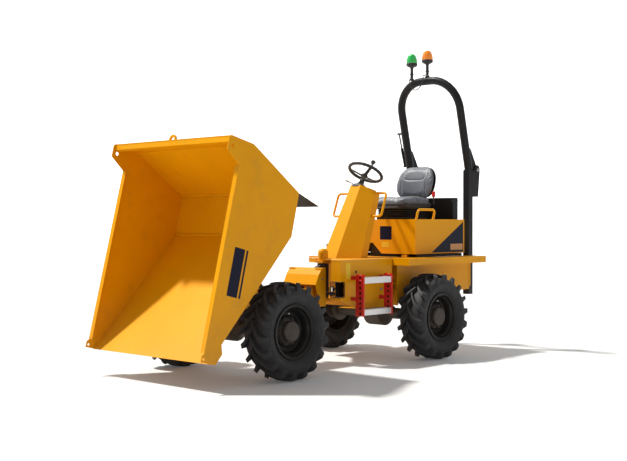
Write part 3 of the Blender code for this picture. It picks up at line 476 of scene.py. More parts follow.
# ---- Front frame --------------------------------------------------------------------------
# Two deep plates carry the skip's hinge pin and the ram's foot; collars and bolts hold them.
def cast():
    material, shade, place = start_finish("sand_casting")
    grain = place.noise(120.0, 4.0)
    low = ((0.55 - place.axis("Z")) * 1.5).held() * place.noise(8.0, 4.0)
    tone = low.mix(grain.mix((0.030, 0.030, 0.032), (0.070, 0.068, 0.065)), DUST)
    return close_finish(material, shade, tone, 0.55 + grain * 0.2, 0.3, grain, 0.0012, 0.6)


casting = cast()


def axle_details(which, body):
    """Cast housing ring, cover bolts and brake plates of one axle."""
    centre_z = (front_tyre_low.z + front_tyre_high.z) / 2
    y = AXLE_Y if which == "front" else AXLE_Y + WHEELBASE
    dress(f"{which}_axle", casting, 0.002)
    bm = bmesh.new()
    for sign in (1, -1):
        for k in range(8):
            a = 2 * math.pi * (k + 0.5) / 8
            at = (sign * 0.0905, y + 0.106 * math.cos(a), centre_z + 0.106 * math.sin(a))
            bolt(bm, at, (sign, 0, 0), 0.008)
        drum = [(0, 0), (0.098, 0), (0.104, 0.006), (0.104, 0.030), (0.090, 0.034), (0, 0.034)]
        spun(bm, drum, (sign * 0.470, y, centre_z), (sign, 0, 0), 40)
    piece(f"{which}_axle_bolts_and_drums", bm, body, casting)


axle_details("front", "front_chassis")
axle_details("rear", "rear_chassis")


def front_frame_details():
    bm = bmesh.new()
    for sign in (1, -1):
        for y, z in ((-0.200, 0.545), (-0.150, 0.545), (0.240, 0.580), (0.780, 0.600), (0.780, 0.420)):
            bolt(bm, (sign * 0.126, AXLE_Y + y, z), (sign, 0, 0), 0.010)
        bolt(bm, (sign * 0.1955, AXLE_Y + 0.900, 0.735), (sign, 0, 0), 0.008)
    piece("front_frame_bolts", bm, "front_chassis", bright_zinc)
    bm = bmesh.new()
    for sign in (1, -1):
        collar = [(0.0225, 0), (0.046, 0), (0.048, 0.003), (0.048, 0.007), (0.0225, 0.007)]
        spun(bm, collar, SKIP_HINGE + Vector((sign * 0.1255, 0, 0)), (sign, 0, 0), 32)
    piece("hinge_collars", bm, "front_chassis", yellow_paint)


front_frame_details()


# ---- Tipping ram and steering ram ---------------------------------------------------------
# Painted barrels with a gland ring and a port block; hard chromed rods with cast eyes.
def chrome():
    material, shade, place = start_finish("hard_chrome")
    film_of_oil = place.noise(30.0, 3.0)
    return close_finish(material, shade, film_of_oil.mix((0.70, 0.71, 0.72), (0.60, 0.60, 0.62)),
                        0.08 + film_of_oil * 0.12, 1.0)


hard_chrome = chrome()


def ram_details(name, foot, stroke, gland_at, radius):
    """Gland nut and hose port on a barrel, along its rod's direction."""
    foot = Vector(joint_by_name[foot]["pos_m"])
    along = Vector(joint_by_name[stroke]["axis"]).normalized()
    up = along.orthogonal().normalized()
    dress(f"{name}_barrel", black_paint)
    dress(f"{name}_rod", hard_chrome)
    frame["nodes"][f"{name}_barrel"].data.shade_smooth()
    bm = bmesh.new()
    start = gland_at - 0.030
    ring = [(radius * 0.60, start), (radius * 1.10, start), (radius * 1.12, start + 0.004),
            (radius * 1.12, gland_at - 0.005), (radius * 1.05, gland_at - 0.001),
            (radius * 0.60, gland_at - 0.001)]
    spun(bm, ring, foot, along, 32)
    spun(bm, [(radius * 0.7, 0.058), (radius * 1.08, 0.058), (radius * 1.08, 0.070), (radius * 0.7, 0.070)],
         foot, along, 32)
    port = foot + along * (gland_at - 0.075)
    spun(bm, [(0, 0), (0.010, 0), (0.010, radius + 0.012), (0.007, radius + 0.016), (0, radius + 0.016)],
         port, up, 16)
    piece(f"{name}_gland", bm, name.replace("_ram", "_barrel"), black_paint)


ram_details("tipping_ram", "tipping_ram_swing", "tipping_ram_stroke", 0.485, 0.036)
ram_details("steering_ram", "steering_ram_swing", "steering_ram_stroke", 0.280, 0.026)


# ---- Wheels -------------------------------------------------------------------------------
# Pressed black rims on eight studs, and cleated implement tyres whose bars meet in a chevron.
def tyre_rubber():
    material, shade, place = start_finish("tyre_rubber")
    bloom = place.noise(6.0, 5.0)
    grain = place.noise(220.0, 2.0)
    low = ((0.30 - place.axis("Z")) * 2.4).held() * bloom
    dust = ((place.noise(16.0, 6.0) - 0.50) * 3.0).held() * 0.22 + low * 0.25
    tone = dust.held().mix((0.018, 0.018, 0.020), (0.120, 0.105, 0.090))
    return close_finish(material, shade, tone, 0.62 + bloom * 0.25, 0.0, grain + bloom, 0.0010, 0.45)


rubber = tyre_rubber()
black_rim = enamel("rim_enamel", (0.010, 0.010, 0.011), dusty=0.05, gloss=0.30)
hub_primer = enamel("hub_primer", (0.060, 0.050, 0.045), dusty=0.12, gloss=0.45)
TYRE_RADIUS = (front_tyre_high.z - front_tyre_low.z) / 2
TYRE_HALF = (front_tyre_high.x - front_tyre_low.x) / 2


def tyre_mesh():
    """Carcass with beads and rubbing ribs, then eighteen bars on each side."""
    bm = bmesh.new()
    half = TYRE_HALF
    wall = [(0.2090, 0.0970), (0.2200, 0.1000), (0.2280, 0.1060), (0.2330, 0.1065), (0.2400, 0.1125),
            (0.2620, half - 0.003), (0.2840, half), (0.2900, half + 0.0015), (0.2960, half),
            (0.3100, half - 0.003), (0.3220, half - 0.010), (0.3330, half - 0.022), (0.3410, half - 0.040),
            (0.3470, 0.060), (0.3490, 0.020)]
    profile = wall + [(radius, -along) for radius, along in reversed(wall)]
    rings = [[bm.verts.new((along, y, z)) for y, z in turned(96, radius)] for radius, along in profile]
    skin(bm, rings + rings[:1], capped=False)
    bars = 18
    stations = [(-0.010, 0.338, 0.3780, 0.0), (0.018, 0.338, TYRE_RADIUS, 7.0),
                (0.048, 0.338, TYRE_RADIUS, 13.5), (0.078, 0.334, TYRE_RADIUS - 0.001, 18.5),
                (0.102, 0.326, 0.3795, 21.0), (0.119, 0.314, 0.3735, 22.5),
                (0.1275, 0.304, 0.3580, 23.5), (0.1295, 0.296, 0.3240, 24.5)]
    for side in (1, -1):
        for k in range(bars):
            base_angle = 2 * math.pi * (k + (0.5 if side < 0 else 0.0)) / bars
            ribs = []
            for along, low, high, skew in stations:
                angle = base_angle + math.radians(skew)
                broad, narrow = 0.022 + along * 0.030, 0.015 + along * 0.030
                corners = ((-broad, low), (-narrow, high), (narrow, high), (broad, low))
                ribs.append([bm.verts.new((side * along, radius * math.cos(angle + w / radius),
                                           radius * math.sin(angle + w / radius))) for w, radius in corners])
            skin(bm, ribs)
    return bm


def rim_mesh():
    """Well, flanges, dished disc and hub boss."""
    bm = bmesh.new()
    profile = [(0, 0.030), (0.108, 0.030), (0.116, 0.026), (0.128, 0.012), (0.146, 0.010), (0.158, 0.018),
               (0.166, 0.040), (0.170, 0.066), (0.176, 0.074), (0.182, 0.078), (0.187, 0.086),
               (0.189, 0.098), (0.194, 0.104), (0.204, 0.106), (0.2075, 0.1105), (0.213, 0.1125),
               (0.2175, 0.110), (0.2165, 0.1075), (0.2110, 0.1050), (0.2065, 0.0990), (0.2060, 0.080),
               (0.192, 0.066), (0.190, -0.060), (0.2060, -0.075), (0.2065, -0.0990), (0.2165, -0.1075),
               (0.2165, -0.112), (0.204, -0.110),
               (0.197, -0.100), (0.184, -0.060), (0.164, -0.010), (0.146, -0.006), (0.110, 0.010),
               (0.070, 0.006), (0.066, -0.027), (0, -0.027)]
    return spun(bm, profile, (0, 0, 0), (1, 0, 0), 64)


def hub_mesh():
    """Flat hub drum with a shallow cap, and eight wheel nuts on their studs round it."""
    bm = bmesh.new()
    drum = [(0, 0.084), (0.030, 0.084), (0.034, 0.0815), (0.068, 0.0810), (0.078, 0.078), (0.083, 0.070),
            (0.084, 0.036), (0.094, 0.034), (0.096, 0.026), (0, 0.026)]
    spun(bm, drum, (0, 0, 0), (1, 0, 0), 56)
    for k in range(8):
        a = 2 * math.pi * k / 8
        at = Vector((0.029, 0.1005 * math.cos(a), 0.1005 * math.sin(a)))
        bolt(bm, at, (1, 0, 0), 0.0115)
        spun(bm, [(0, 0), (0.006, 0), (0.006, 0.019), (0, 0.020)], at, (1, 0, 0), 10)
    return bm


def valve_mesh():
    bm = bmesh.new()
    tube(bm, [(0.050, 0, 0.172), (0.070, 0, 0.162), (0.092, 0, 0.158)], 0.0042, 10)
    spun(bm, [(0, 0), (0.0055, 0), (0.0055, 0.012), (0, 0.013)], (0.090, 0, 0.1583), (1, 0, -0.1), 10)
    return bm


for end in ("front", "rear"):
    for side, word in ((1, "left"), (-1, "right")):
        where = f"{end}_{word}"
        low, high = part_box(f"tyre_{where}")
        centre = (low + high) / 2
        mirrored = Matrix.Scale(side, 4, (1, 0, 0)) @ Matrix.Rotation(0.4 * side, 4, "X")
        for bm, name, finish, slot, smooth in (
                (tyre_mesh(), f"cleated_tyre_{where}", rubber, "tyre_rubber", 28),
                (rim_mesh(), f"wheel_rim_{where}", black_rim, "black_paint", 30),
                (hub_mesh(), f"hub_{where}", hub_primer, "cast_metal", 30),
                (valve_mesh(), f"valve_{where}", bright_zinc, "rod_chrome", 30)):
            bm.transform(Matrix.Translation(centre) @ mirrored)
            made = piece(name, bm, f"wheel_{where}", finish, smooth)
            if name.startswith("cleated"):
                edge = made.modifiers.new("rounded_bars", "BEVEL")
                edge.width = 0.0028
                edge.segments = 2
                edge.limit_method = "ANGLE"
                edge.angle_limit = math.radians(35)
                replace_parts(made, f"tyre_{where}")
            elif name.startswith("wheel_rim"):
                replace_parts(made, f"rim_{where}")


# ---- Rear frame, side casing and boards ---------------------------------------------------
# Pressed and folded sheet on the welded rear frame, held by zinc plated screws. The steering
# ram leaves the casing through a rubber lined hole.
for name in ("side_box_left", "running_board_left", "running_board_right"):
    dress(name, yellow_paint, 0.003)


TILES_PER_METRE = 38.0


def chequer():
    """Painted chequer plate: short raised lozenges in two directions."""
    material, shade, place = start_finish("chequer_enamel")
    rows = place.node("VectorMath", {"operation": "MULTIPLY"}, {0: place, 1: (1, 1, 0)})
    slanted = rows.node("VectorRotate", {"rotation_type": "Z_AXIS"},
                        {"Vector": rows, "Angle": math.radians(45)})
    tiles = slanted.node("TexChecker", None, {"Vector": slanted, "Scale": TILES_PER_METRE}, 1)
    across = (slanted.axis("X") * (math.pi * TILES_PER_METRE)).sine()
    along = (slanted.axis("Y") * (math.pi * TILES_PER_METRE)).sine()
    long_x = across * across * 0.25 + along * along * 1.5
    long_y = along * along * 0.25 + across * across * 1.5
    lozenge = (1.0 - (tiles * long_x + (1.0 - tiles) * long_y) * 2.0).held()
    cloud = place.noise(5.0, 4.0)
    grit = ((place.noise(26.0, 6.0) - 0.48) * 3.0).held() * (1.0 - lozenge) * 0.35
    tone = grit.mix(cloud.mix(tuple(c * 0.85 for c in YELLOW), YELLOW), DUST)
    return close_finish(material, shade, tone, 0.38 + cloud * 0.15, 0.0, lozenge, 0.0016, 0.9)


dress("floor_plate", chequer(), 0.0015)

side_low, side_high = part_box("side_box_left")


def upright(x, front, rear, bottom, top):
    """Corners of an upright rectangle that faces sideways."""
    return [(x, front, bottom), (x, rear, bottom), (x, rear, top), (x, front, top)]


def casing_details():
    """Painted shade behind the ram's hole, the hole's rubber lining, blank label, a painted shade disc for a
    small hole, and screws on the left casing.
    """
    x, front = side_high.x, side_low.y
    bm = bmesh.new()
    # A dark sheet just inside the casing paints the shade seen through the ram's hole.
    block(bm, (0.3500, front + 0.012, 0.565), (0.3525, front + 0.395, 0.745))
    piece("ram_hole_painted_shade", bm, "rear_chassis", painted_hole_shade)
    bm = bmesh.new()
    bottom, top, edge, nose = 0.587, 0.718, x + 0.001, front - 0.001
    rubber_lip = [(edge, nose, bottom), (edge, front + 0.052, bottom), (edge, front + 0.052, top),
                  (edge, nose, top), (x - 0.115, nose, top), (x - 0.115, nose, bottom)]
    tube(bm, bent(rubber_lip, 0.014, 5), 0.0032, 8, closed=True)
    piece("ram_hole_lip", bm, "rear_chassis", rubber)
    film("casing_label", upright(x, front + 0.072, front + 0.126, 0.742, 0.878), (1, 0, 0),
         "rear_chassis", lemon_film, 0.0008, 0.08)
    bm = bmesh.new()
    for y, z in ((0.640, 0.860), (0.640, 0.520)):
        bolt(bm, (x, front + y, z), (1, 0, 0), 0.0075)
    piece("casing_screws", bm, "rear_chassis", yellow_paint)
    bm = bmesh.new()
    # A thin dark disc paints the shade of a small hole in the casing.
    spun(bm, [(0, 0), (0.013, 0), (0.013, 0.0006), (0, 0.0006)], (x, front + 0.200, 0.800), (1, 0, 0), 20)
    piece("casing_hole_painted_shade", bm, "rear_chassis", painted_hole_shade)


def board_details():
    """Screw rows along each board, and bolts across the rear frame."""
    bm = bmesh.new()
    for side in ("left", "right"):
        low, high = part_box(f"running_board_{side}")
        outward = 1 if side == "left" else -1
        edge = high.x if outward > 0 else low.x
        for y in (low.y + 0.10, (low.y + high.y) / 2, high.y - 0.10):
            bolt(bm, (edge, y, high.z - 0.031), (outward, 0, 0), 0.0065)
            bolt(bm, (edge - outward * 0.060, y, high.z), (0, 0, 1), 0.0065)
    for x in (-0.30, -0.10, 0.10, 0.30):
        for z in (0.650, 0.820):
            bolt(bm, (x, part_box("rear_frame")[1].y, z), (0, 1, 0), 0.011)
    piece("board_and_rear_bolts", bm, "rear_chassis", yellow_paint)


def red_reflector():
    material, shade, place = start_finish("reflector_red")
    cells = place.node("TexVoronoi", None, {"Vector": place, "Scale": 320.0})
    return close_finish(material, shade, cells.mix((0.35, 0.006, 0.004), (0.70, 0.02, 0.012)), 0.12, 0.0,
                        cells, 0.001, 0.8, {"Coat Weight": 0.8})


def rear_reflectors():
    dome = [(0, 0), (0.030, 0), (0.030, 0.006), (0.027, 0.009), (0, 0.010)]
    for x, word in ((0.375, "left"), (-0.375, "right")):
        bm = bmesh.new()
        spun(bm, dome, (x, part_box("rear_frame")[1].y, 0.735), (0, 1, 0), 28)
        piece(f"reflector_{word}", bm, "rear_chassis", red_reflector())


def pivot_details():
    """Nuts on the steering ram's anchor and under the king pin, and the trunnion's flange bolts."""
    pivot = Vector(joint_by_name["articulation"]["pos_m"])
    # The pivot's dark cast finish is partly painted shade, so that it looks dark through the casing's hole.
    dress("centre_pivot", casting, 0.0025)
    bm = bmesh.new()
    flange_y = AXLE_Y + 0.951
    for k in range(6):
        a = math.pi * (2 * k + 1) / 6
        bolt(bm, (0.060 * math.cos(a), flange_y + 0.016, 0.640 + 0.060 * math.sin(a)), (0, 1, 0), 0.0075)
    piece("trunnion_bolts", bm, "pivot", bright_zinc)
    bm = bmesh.new()
    eye = Vector(joint_by_name["steering_ram_swing"]["pos_m"])
    bolt(bm, (eye.x, eye.y, 0.688), (0, 0, 1), 0.014)
    bolt(bm, (0, pivot.y, 0.507), (0, 0, -1), 0.022)
    piece("king_pin_nuts", bm, "rear_chassis", bright_zinc)


casing_details()
board_details()
rear_reflectors()
pivot_details()
dress("engine_block", casting, 0.006)


# ---- Access step --------------------------------------------------------------------------
# Two upright red rails of pressed grip strip, each with a column of raised punched holes, and
# two bright treads between them.
red_grip = enamel("red_enamel", (0.66, 0.022, 0.016), dusty=0.3, gloss=0.3)


def tread_metal():
    material, shade, place = start_finish("bright_tread")
    drawn = place.noise(60.0, 3.0, (1.0, 0.08, 1.0))
    return close_finish(material, shade, drawn.mix((0.62, 0.62, 0.62), (0.82, 0.82, 0.82)),
                        0.28 + drawn * 0.2, 0.85, drawn, 0.0006, 0.4)


bright_tread = tread_metal()


def grip_rails():
    for rail in ("front", "rear"):
        node = f"step_rail_{rail}"
        dress(node, red_grip, 0.001)
        low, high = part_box(node)
        tread_low, tread_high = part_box("step_tread_upper")
        plate_y = tread_low.y - 0.0063 if rail == "front" else tread_high.y + 0.0003
        rims, dark = bmesh.new(), bmesh.new()
        count = 8
        centre_x = high.x - 0.042
        for k in range(count):
            z = low.z + (high.z - low.z) * (k + 0.5) / count
            for face, along in ((plate_y, -1), (plate_y + 0.006, 1)):
                at = Vector((centre_x, face, z))
                crown = [(0.0125, 0), (0.0215, 0), (0.0180, 0.0055), (0.0150, 0.0065), (0.0125, 0.0055)]
                spun(rims, crown, at, (0, along, 0), 20)
                # A dark disc in each punched hole paints the shade seen through it.
                hole = [(0, 0.0002), (0.0126, 0.0002), (0.0126, 0.0008), (0, 0.0008)]
                spun(dark, hole, at, (0, along, 0), 20)
                for shift in (-0.030, 0.030):
                    spot = at + Vector((shift, 0, 0.022))
                    spun(rims, [(0, 0), (0.0065, 0), (0.0045, 0.003), (0, 0.0035)], spot, (0, along, 0), 12)
        for sign in (0, 1):
            x = high.x - 0.0004 if sign else high.x - 0.0840
            block(rims, (x - 0.003, plate_y - 0.011, low.z), (x, plate_y, high.z))
        piece(f"grip_strip_{rail}", rims, "rear_chassis", red_grip, 40)
        piece(f"grip_hole_shade_discs_{rail}", dark, "rear_chassis", painted_hole_shade)
    bm = bmesh.new()
    rail_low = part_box("step_rail_rear")[0]
    for z in (0.570, 0.640, 0.750):
        for y in (rail_low.y + 0.014, rail_low.y + 0.034):
            bolt(bm, (side_high.x + 0.006, y, z), (1, 0, 0), 0.007)
    piece("step_bolts", bm, "rear_chassis", bright_zinc)


def treads():
    for name in ("step_tread_upper", "step_tread_lower"):
        dress(name, bright_tread, 0.0015)
        low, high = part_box(name)
        bm = bmesh.new()
        count = 17
        for k in range(count):
            y = low.y + (high.y - low.y) * (k + 0.5) / count
            for x in (low.x + 0.018, low.x + 0.040, low.x + 0.062):
                tooth = [(0, 0), (0.0065, 0), (0.0050, 0.0035), (0.0030, 0.0040), (0.0, 0.0040)]
                spun(bm, tooth, (x, y, high.z), (0, 0, 1), 8)
        piece(f"{name}_teeth", bm, "rear_chassis", bright_tread)


grip_rails()
treads()


# ---- Steering column ----------------------------------------------------------------------
# Folded sheet, leaning back over the driver's feet, with a grab loop on each flank, a moulded
# instrument cap and a stalk. The hand wheel is rubber over a steel ring.
dress("steering_console", yellow_paint, 0.004, 3)


def moulding():
    material, shade, place = start_finish("black_moulding")
    pebble = place.node("TexVoronoi", None, {"Vector": place, "Scale": 900.0})
    cloud = place.noise(12.0, 2.0)
    return close_finish(material, shade, cloud.mix((0.017, 0.017, 0.018), (0.032, 0.032, 0.034)),
                        0.52 + cloud * 0.12, 0.0, pebble, 0.0004, 0.4)


black_moulding = moulding()
WHEEL_AXIS = Vector(joint_by_name["hand_wheel_turn"]["axis"]).normalized()
WHEEL_HUB = Vector(joint_by_name["hand_wheel_turn"]["pos_m"])
WHEEL_SIDE = Vector((1, 0, 0))
WHEEL_UP = WHEEL_AXIS.cross(WHEEL_SIDE)


def grab_loop(name, points, body, bend):
    """Round bar bent to a loop, with weld collars at its feet."""
    bm = bmesh.new()
    tube(bm, bent(points, bend, 8), 0.011, 18)
    for end, inner in ((points[0], points[1]), (points[-1], points[-2])):
        towards = Vector(inner) - Vector(end)
        spun(bm, [(0, 0), (0.0155, 0), (0.0140, 0.004), (0.0112, 0.006), (0, 0.006)], end, towards, 20)
    loop = piece(f"{name}_loop", bm, body, yellow_paint)
    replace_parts(loop, name)


def column_loops():
    for side, word in ((1, "left"), (-1, "right")):
        low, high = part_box(f"console_handle_{word}")
        foot = low.x if side > 0 else high.x
        out = high.x - 0.0108 if side > 0 else low.x + 0.0108
        points = [(foot - side * 0.001, high.y - 0.0108, high.z - 0.011),
                  (out, high.y - 0.0108, high.z - 0.011), (out, low.y + 0.0112, low.z + 0.011),
                  (foot + side * 0.0220, low.y + 0.0112, low.z + 0.011)]
        grab_loop(f"console_handle_{word}", points, "rear_chassis", 0.032)


def squared(count, power, half_x, half_y):
    """Points round a rectangle whose corners are rounded off."""
    return [(half_x * math.copysign(abs(x) ** power, x), half_y * math.copysign(abs(y) ** power, y))
            for x, y in turned(count)]


def instrument_cap():
    centre = WHEEL_HUB - WHEEL_AXIS * 0.118
    bm = bmesh.new()
    levels = ((0.0, 1.0), (0.016, 1.02), (0.030, 0.94), (0.038, 0.78))
    rings = [[bm.verts.new(centre + WHEEL_AXIS * (up - 0.018) + WHEEL_SIDE * (x * k) + WHEEL_UP * (y * k))
              for x, y in squared(28, 0.7, 0.074, 0.062)] for up, k in levels]
    skin(bm, rings)
    boot = [(0.040, 0.018), (0.042, 0.024), (0.034, 0.030), (0.036, 0.036), (0.028, 0.042), (0.030, 0.048),
            (0.024, 0.056), (0.022, 0.090), (0, 0.090)]
    spun(bm, [(0, 0.018)] + boot, centre, WHEEL_AXIS, 28)
    cap = piece("instrument_cap", bm, "rear_chassis", black_moulding)
    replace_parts(cap, "dash_panel")
    dials = bmesh.new()
    for x in (-0.045, 0.045):
        for y, r in ((-0.018, 0.013), (0.024, 0.009)):
            at = centre + WHEEL_AXIS * 0.010 + WHEEL_SIDE * x + WHEEL_UP * y
            bezel = [(0, 0.008), (r, 0.008), (r * 1.1, 0.012), (r * 0.92, 0.015), (r * 0.90, 0.012),
                     (0, 0.012)]
            spun(dials, bezel, at, WHEEL_AXIS, 24)
    piece("gauges", dials, "rear_chassis", hard_chrome)


def column_stalk():
    start = WHEEL_HUB - WHEEL_AXIS * 0.095 + WHEEL_SIDE * -0.055
    end = start + Vector((-0.075, -0.020, 0.040))
    bm = bmesh.new()
    tube(bm, [start, start.lerp(end, 0.5) + Vector((0, 0, 0.004)), end], 0.0042, 10)
    piece("drive_stalk", bm, "rear_chassis", black_moulding)
    bm = bmesh.new()
    grip = [(0, 0), (0.0065, 0), (0.0095, 0.006), (0.0105, 0.024), (0.0085, 0.036), (0, 0.040)]
    spun(bm, grip, end - (end - start).normalized() * 0.004, end - start, 20)
    piece("stalk_grip", bm, "rear_chassis", ivory_film)


def hand_wheel():
    """Ring with finger waves, three flat spokes, hub cap and spinner knob."""
    ring_radius, rise = 0.158, 0.050

    def on_wheel(angle, radius, up):
        return (WHEEL_HUB + WHEEL_SIDE * (radius * math.cos(angle)) + WHEEL_UP * (radius * math.sin(angle))
                + WHEEL_AXIS * up)

    bm = bmesh.new()
    steps, finger_waves = 96, 24
    rings = []
    for k in range(steps):
        angle = 2 * math.pi * k / steps
        grip = 0.0148 + 0.0007 * math.cos(angle * finger_waves)
        rings.append([bm.verts.new(on_wheel(angle, ring_radius + x, rise + y)) for x, y in turned(14, grip)])
    skin(bm, rings + rings[:1], capped=False)
    for degrees in (-33, 87, 207):
        angle = math.radians(degrees)
        across = on_wheel(angle + math.pi / 2, 1.0, 0) - WHEEL_HUB
        levels = [(0.014, 0.012, 0.019), (0.050, 0.020, 0.017), (0.100, 0.034, 0.014), (0.152, 0.049, 0.016)]
        ribs = []
        for radius, up, half in levels:
            at = on_wheel(angle, radius, up)
            ribs.append([bm.verts.new(at + across * (half * x) + WHEEL_AXIS * (0.0060 * y))
                         for x, y in turned(12)])
        skin(bm, ribs)
    hub = [(0, 0.0), (0.028, 0.0), (0.034, 0.006), (0.034, 0.016), (0.028, 0.024), (0.016, 0.028), (0, 0.029)]
    spun(bm, hub, WHEEL_HUB, WHEEL_AXIS, 32)
    knob_at = on_wheel(math.radians(-33), ring_radius + 0.002, rise + 0.010)
    knob = [(0, 0), (0.0085, 0), (0.0085, 0.016), (0.012, 0.022), (0.0205, 0.034), (0.0225, 0.044),
            (0.0195, 0.053), (0.010, 0.058), (0, 0.059)]
    spun(bm, knob, knob_at, WHEEL_AXIS, 24)
    wheel = piece("moulded_steering_wheel", bm, "hand_wheel", black_moulding)
    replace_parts(wheel, "steering_wheel")


def pedals():
    """Drive and brake pedals to the right of the column's foot."""
    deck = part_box("floor_plate")[1].z - 0.023
    bm = bmesh.new()
    for x in (-0.270, -0.355):
        y = AXLE_Y + 1.600
        tube(bm, [(x, y + 0.050, deck), (x, y + 0.030, deck + 0.045), (x, y, deck + 0.075)], 0.007, 10)
        for k in range(6):
            z = deck + 0.052 + k * 0.012
            block(bm, (x - 0.035, y - 0.020 + k * 0.008, z), (x + 0.035, y - 0.012 + k * 0.008, z + 0.008))
        block(bm, (x - 0.034, y - 0.014, deck + 0.050), (x + 0.034, y - 0.006, deck + 0.118))
    piece("pedals", bm, "rear_chassis", black_moulding)


column_loops()
instrument_cap()
column_stalk()
hand_wheel()
pedals()


# ---- Engine cover -------------------------------------------------------------------------
# A pressed steel hood with rounded edges that tips forward. It has blank films, rubber
# latches at its rear corners, louvres across its rear face and grab loops on top.
dress("engine_cover", yellow_paint, 0.006, 3)
dress("rear_locker", black_paint, 0.003)
cover_low, cover_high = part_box("engine_cover")


def cover_loops():
    for word in ("left", "right"):
        low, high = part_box(f"cover_handle_{word}")
        side = 1 if word == "left" else -1
        foot = (low.x if side > 0 else -high.x) + 0.0108
        top = (high.x if side > 0 else -low.x) - 0.0110
        rise = high.z - 0.011
        points = [(side * foot, low.y + 0.011, low.z - 0.003), (side * top, low.y + 0.011, rise),
                  (side * top, high.y - 0.011, rise), (side * foot, high.y - 0.011, low.z - 0.003)]
        grab_loop(f"cover_handle_{word}", points, "cover", 0.036)


def cover_films():
    front, rear, bottom, top = cover_low.y, cover_high.y, cover_low.z, cover_high.z
    for sign, word in ((1, "left"), (-1, "right")):
        x = cover_high.x * sign
        wedge = [(x, rear - 0.018, top - 0.022), (x, rear - 0.018, bottom + 0.010),
                 (x, rear - 0.520, bottom + 0.010)]
        film(f"cover_wedge_{word}", wedge, (sign, 0, 0), "cover", navy_film, round_off=0.01)
        plate = upright(x, rear - 0.225, rear - 0.030, bottom + 0.030, bottom + 0.088)
        film(f"cover_plate_{word}", plate, (sign, 0, 0), "cover", tan_film, 0.0012, 0.12)
    for name, left, right, under, over, finish, slot, round_off in (
            ("cover_label", 0.010, 0.150, 0.190, 0.064, navy_film, "black_paint", 0.06),
            ("cover_small_label", 0.030, 0.120, 0.262, 0.212, lemon_film, "yellow_paint", 0.12)):
        corners = [(x, front, top - down)
                   for x, down in ((left, under), (right, under), (right, over), (left, over))]
        film(name, corners, (0, -1, 0), "cover", finish, 0.0008, round_off)


def cover_latches():
    bm = bmesh.new()
    for sign in (1, -1):
        x = sign * (cover_high.x - 0.060)
        y = cover_high.y
        block(bm, (x - 0.016, y, cover_low.z + 0.020), (x + 0.016, y + 0.012, cover_low.z + 0.060))
        tube(bm, [(x, y + 0.010, cover_low.z + 0.030), (x, y + 0.016, cover_low.z + 0.005),
                  (x, y + 0.012, cover_low.z - 0.012)], 0.006, 12)
    piece("cover_latches", bm, "cover", black_moulding)
    bm = bmesh.new()
    for k in range(7):
        z = cover_low.z + 0.075 + k * 0.026
        for x0 in (-0.300, 0.060):
            face, out, end = cover_high.y, cover_high.y + 0.009, x0 + 0.240
            slat = [(x0, face, z), (x0, out, z - 0.004), (end, out, z - 0.004), (end, face, z)]
            tube(bm, bent(slat, 0.006, 3), 0.0055, 10)
    piece("cover_louvres", bm, "cover", yellow_paint)


def cover_gap_painted_shadow():
    """Dark rubber strip on the frame, just under the closed cover, painting the shadow in the gap between
    cover and deck.
    """
    bm = bmesh.new()
    deck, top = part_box("running_board_left")[1].z + 0.0005, cover_low.z - 0.004
    x, front, rear = cover_high.x - 0.012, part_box("floor_plate")[1].y + 0.004, cover_high.y - 0.012
    path = bent([(x, front, 0), (x, rear, 0), (-x, rear, 0), (-x, front, 0)], 0.030, 6)
    for a, b in zip(path, path[1:]):
        across = (b - a).cross(Vector((0, 0, 1))).normalized() * 0.006
        corners = [a - across, a + across, b + across, b - across]
        skin(bm, [[bm.verts.new((c.x, c.y, z)) for c in corners] for z in (deck, top)])
    piece("cover_gap_painted_shadow", bm, "rear_chassis", rubber)


def locker_details():
    """Lid seam and corner screws of the black box behind the seat."""
    low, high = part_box("rear_locker")
    bm = bmesh.new()
    seam = [(x, y, high.z - 0.030) for x, y in
            ((low.x, low.y), (high.x, low.y), (high.x, high.y), (low.x, high.y))]
    tube(bm, seam, 0.0022, 6, closed=True)
    for x in (low.x + 0.030, high.x - 0.030):
        for z in (low.z + 0.025, high.z - 0.055):
            bolt(bm, (x, low.y, z), (0, -1, 0), 0.006)
            bolt(bm, (x, high.y, z), (0, 1, 0), 0.006)
    piece("locker_seam", bm, "cover", black_paint)


cover_loops()
cover_films()
cover_latches()
cover_gap_painted_shadow()
locker_details()


# ---- Driver's seat ------------------------------------------------------------------------
# A suspension seat: black pan and bellows on slides, a grey vinyl cushion and a bucket
# back with a sewn upper panel, and a red belt buckle.
def vinyl(name, light, dark):
    material, shade, place = start_finish(name)
    grain = place.node("TexVoronoi", {"feature": "DISTANCE_TO_EDGE"}, {"Vector": place, "Scale": 420.0})
    crease = place.noise(24.0, 4.0)
    tone = crease.mix(dark, light)
    return close_finish(material, shade, tone, 0.36 + crease * 0.14, 0.0, (grain * 6.0).held() + crease * 0.8,
                        0.0008, 0.45, {"Coat Weight": 0.15, "Coat Roughness": 0.35})


grey_vinyl = vinyl("grey_vinyl", (0.150, 0.165, 0.195), (0.090, 0.100, 0.120))
black_vinyl = vinyl("black_vinyl", (0.030, 0.031, 0.034), (0.018, 0.018, 0.020))


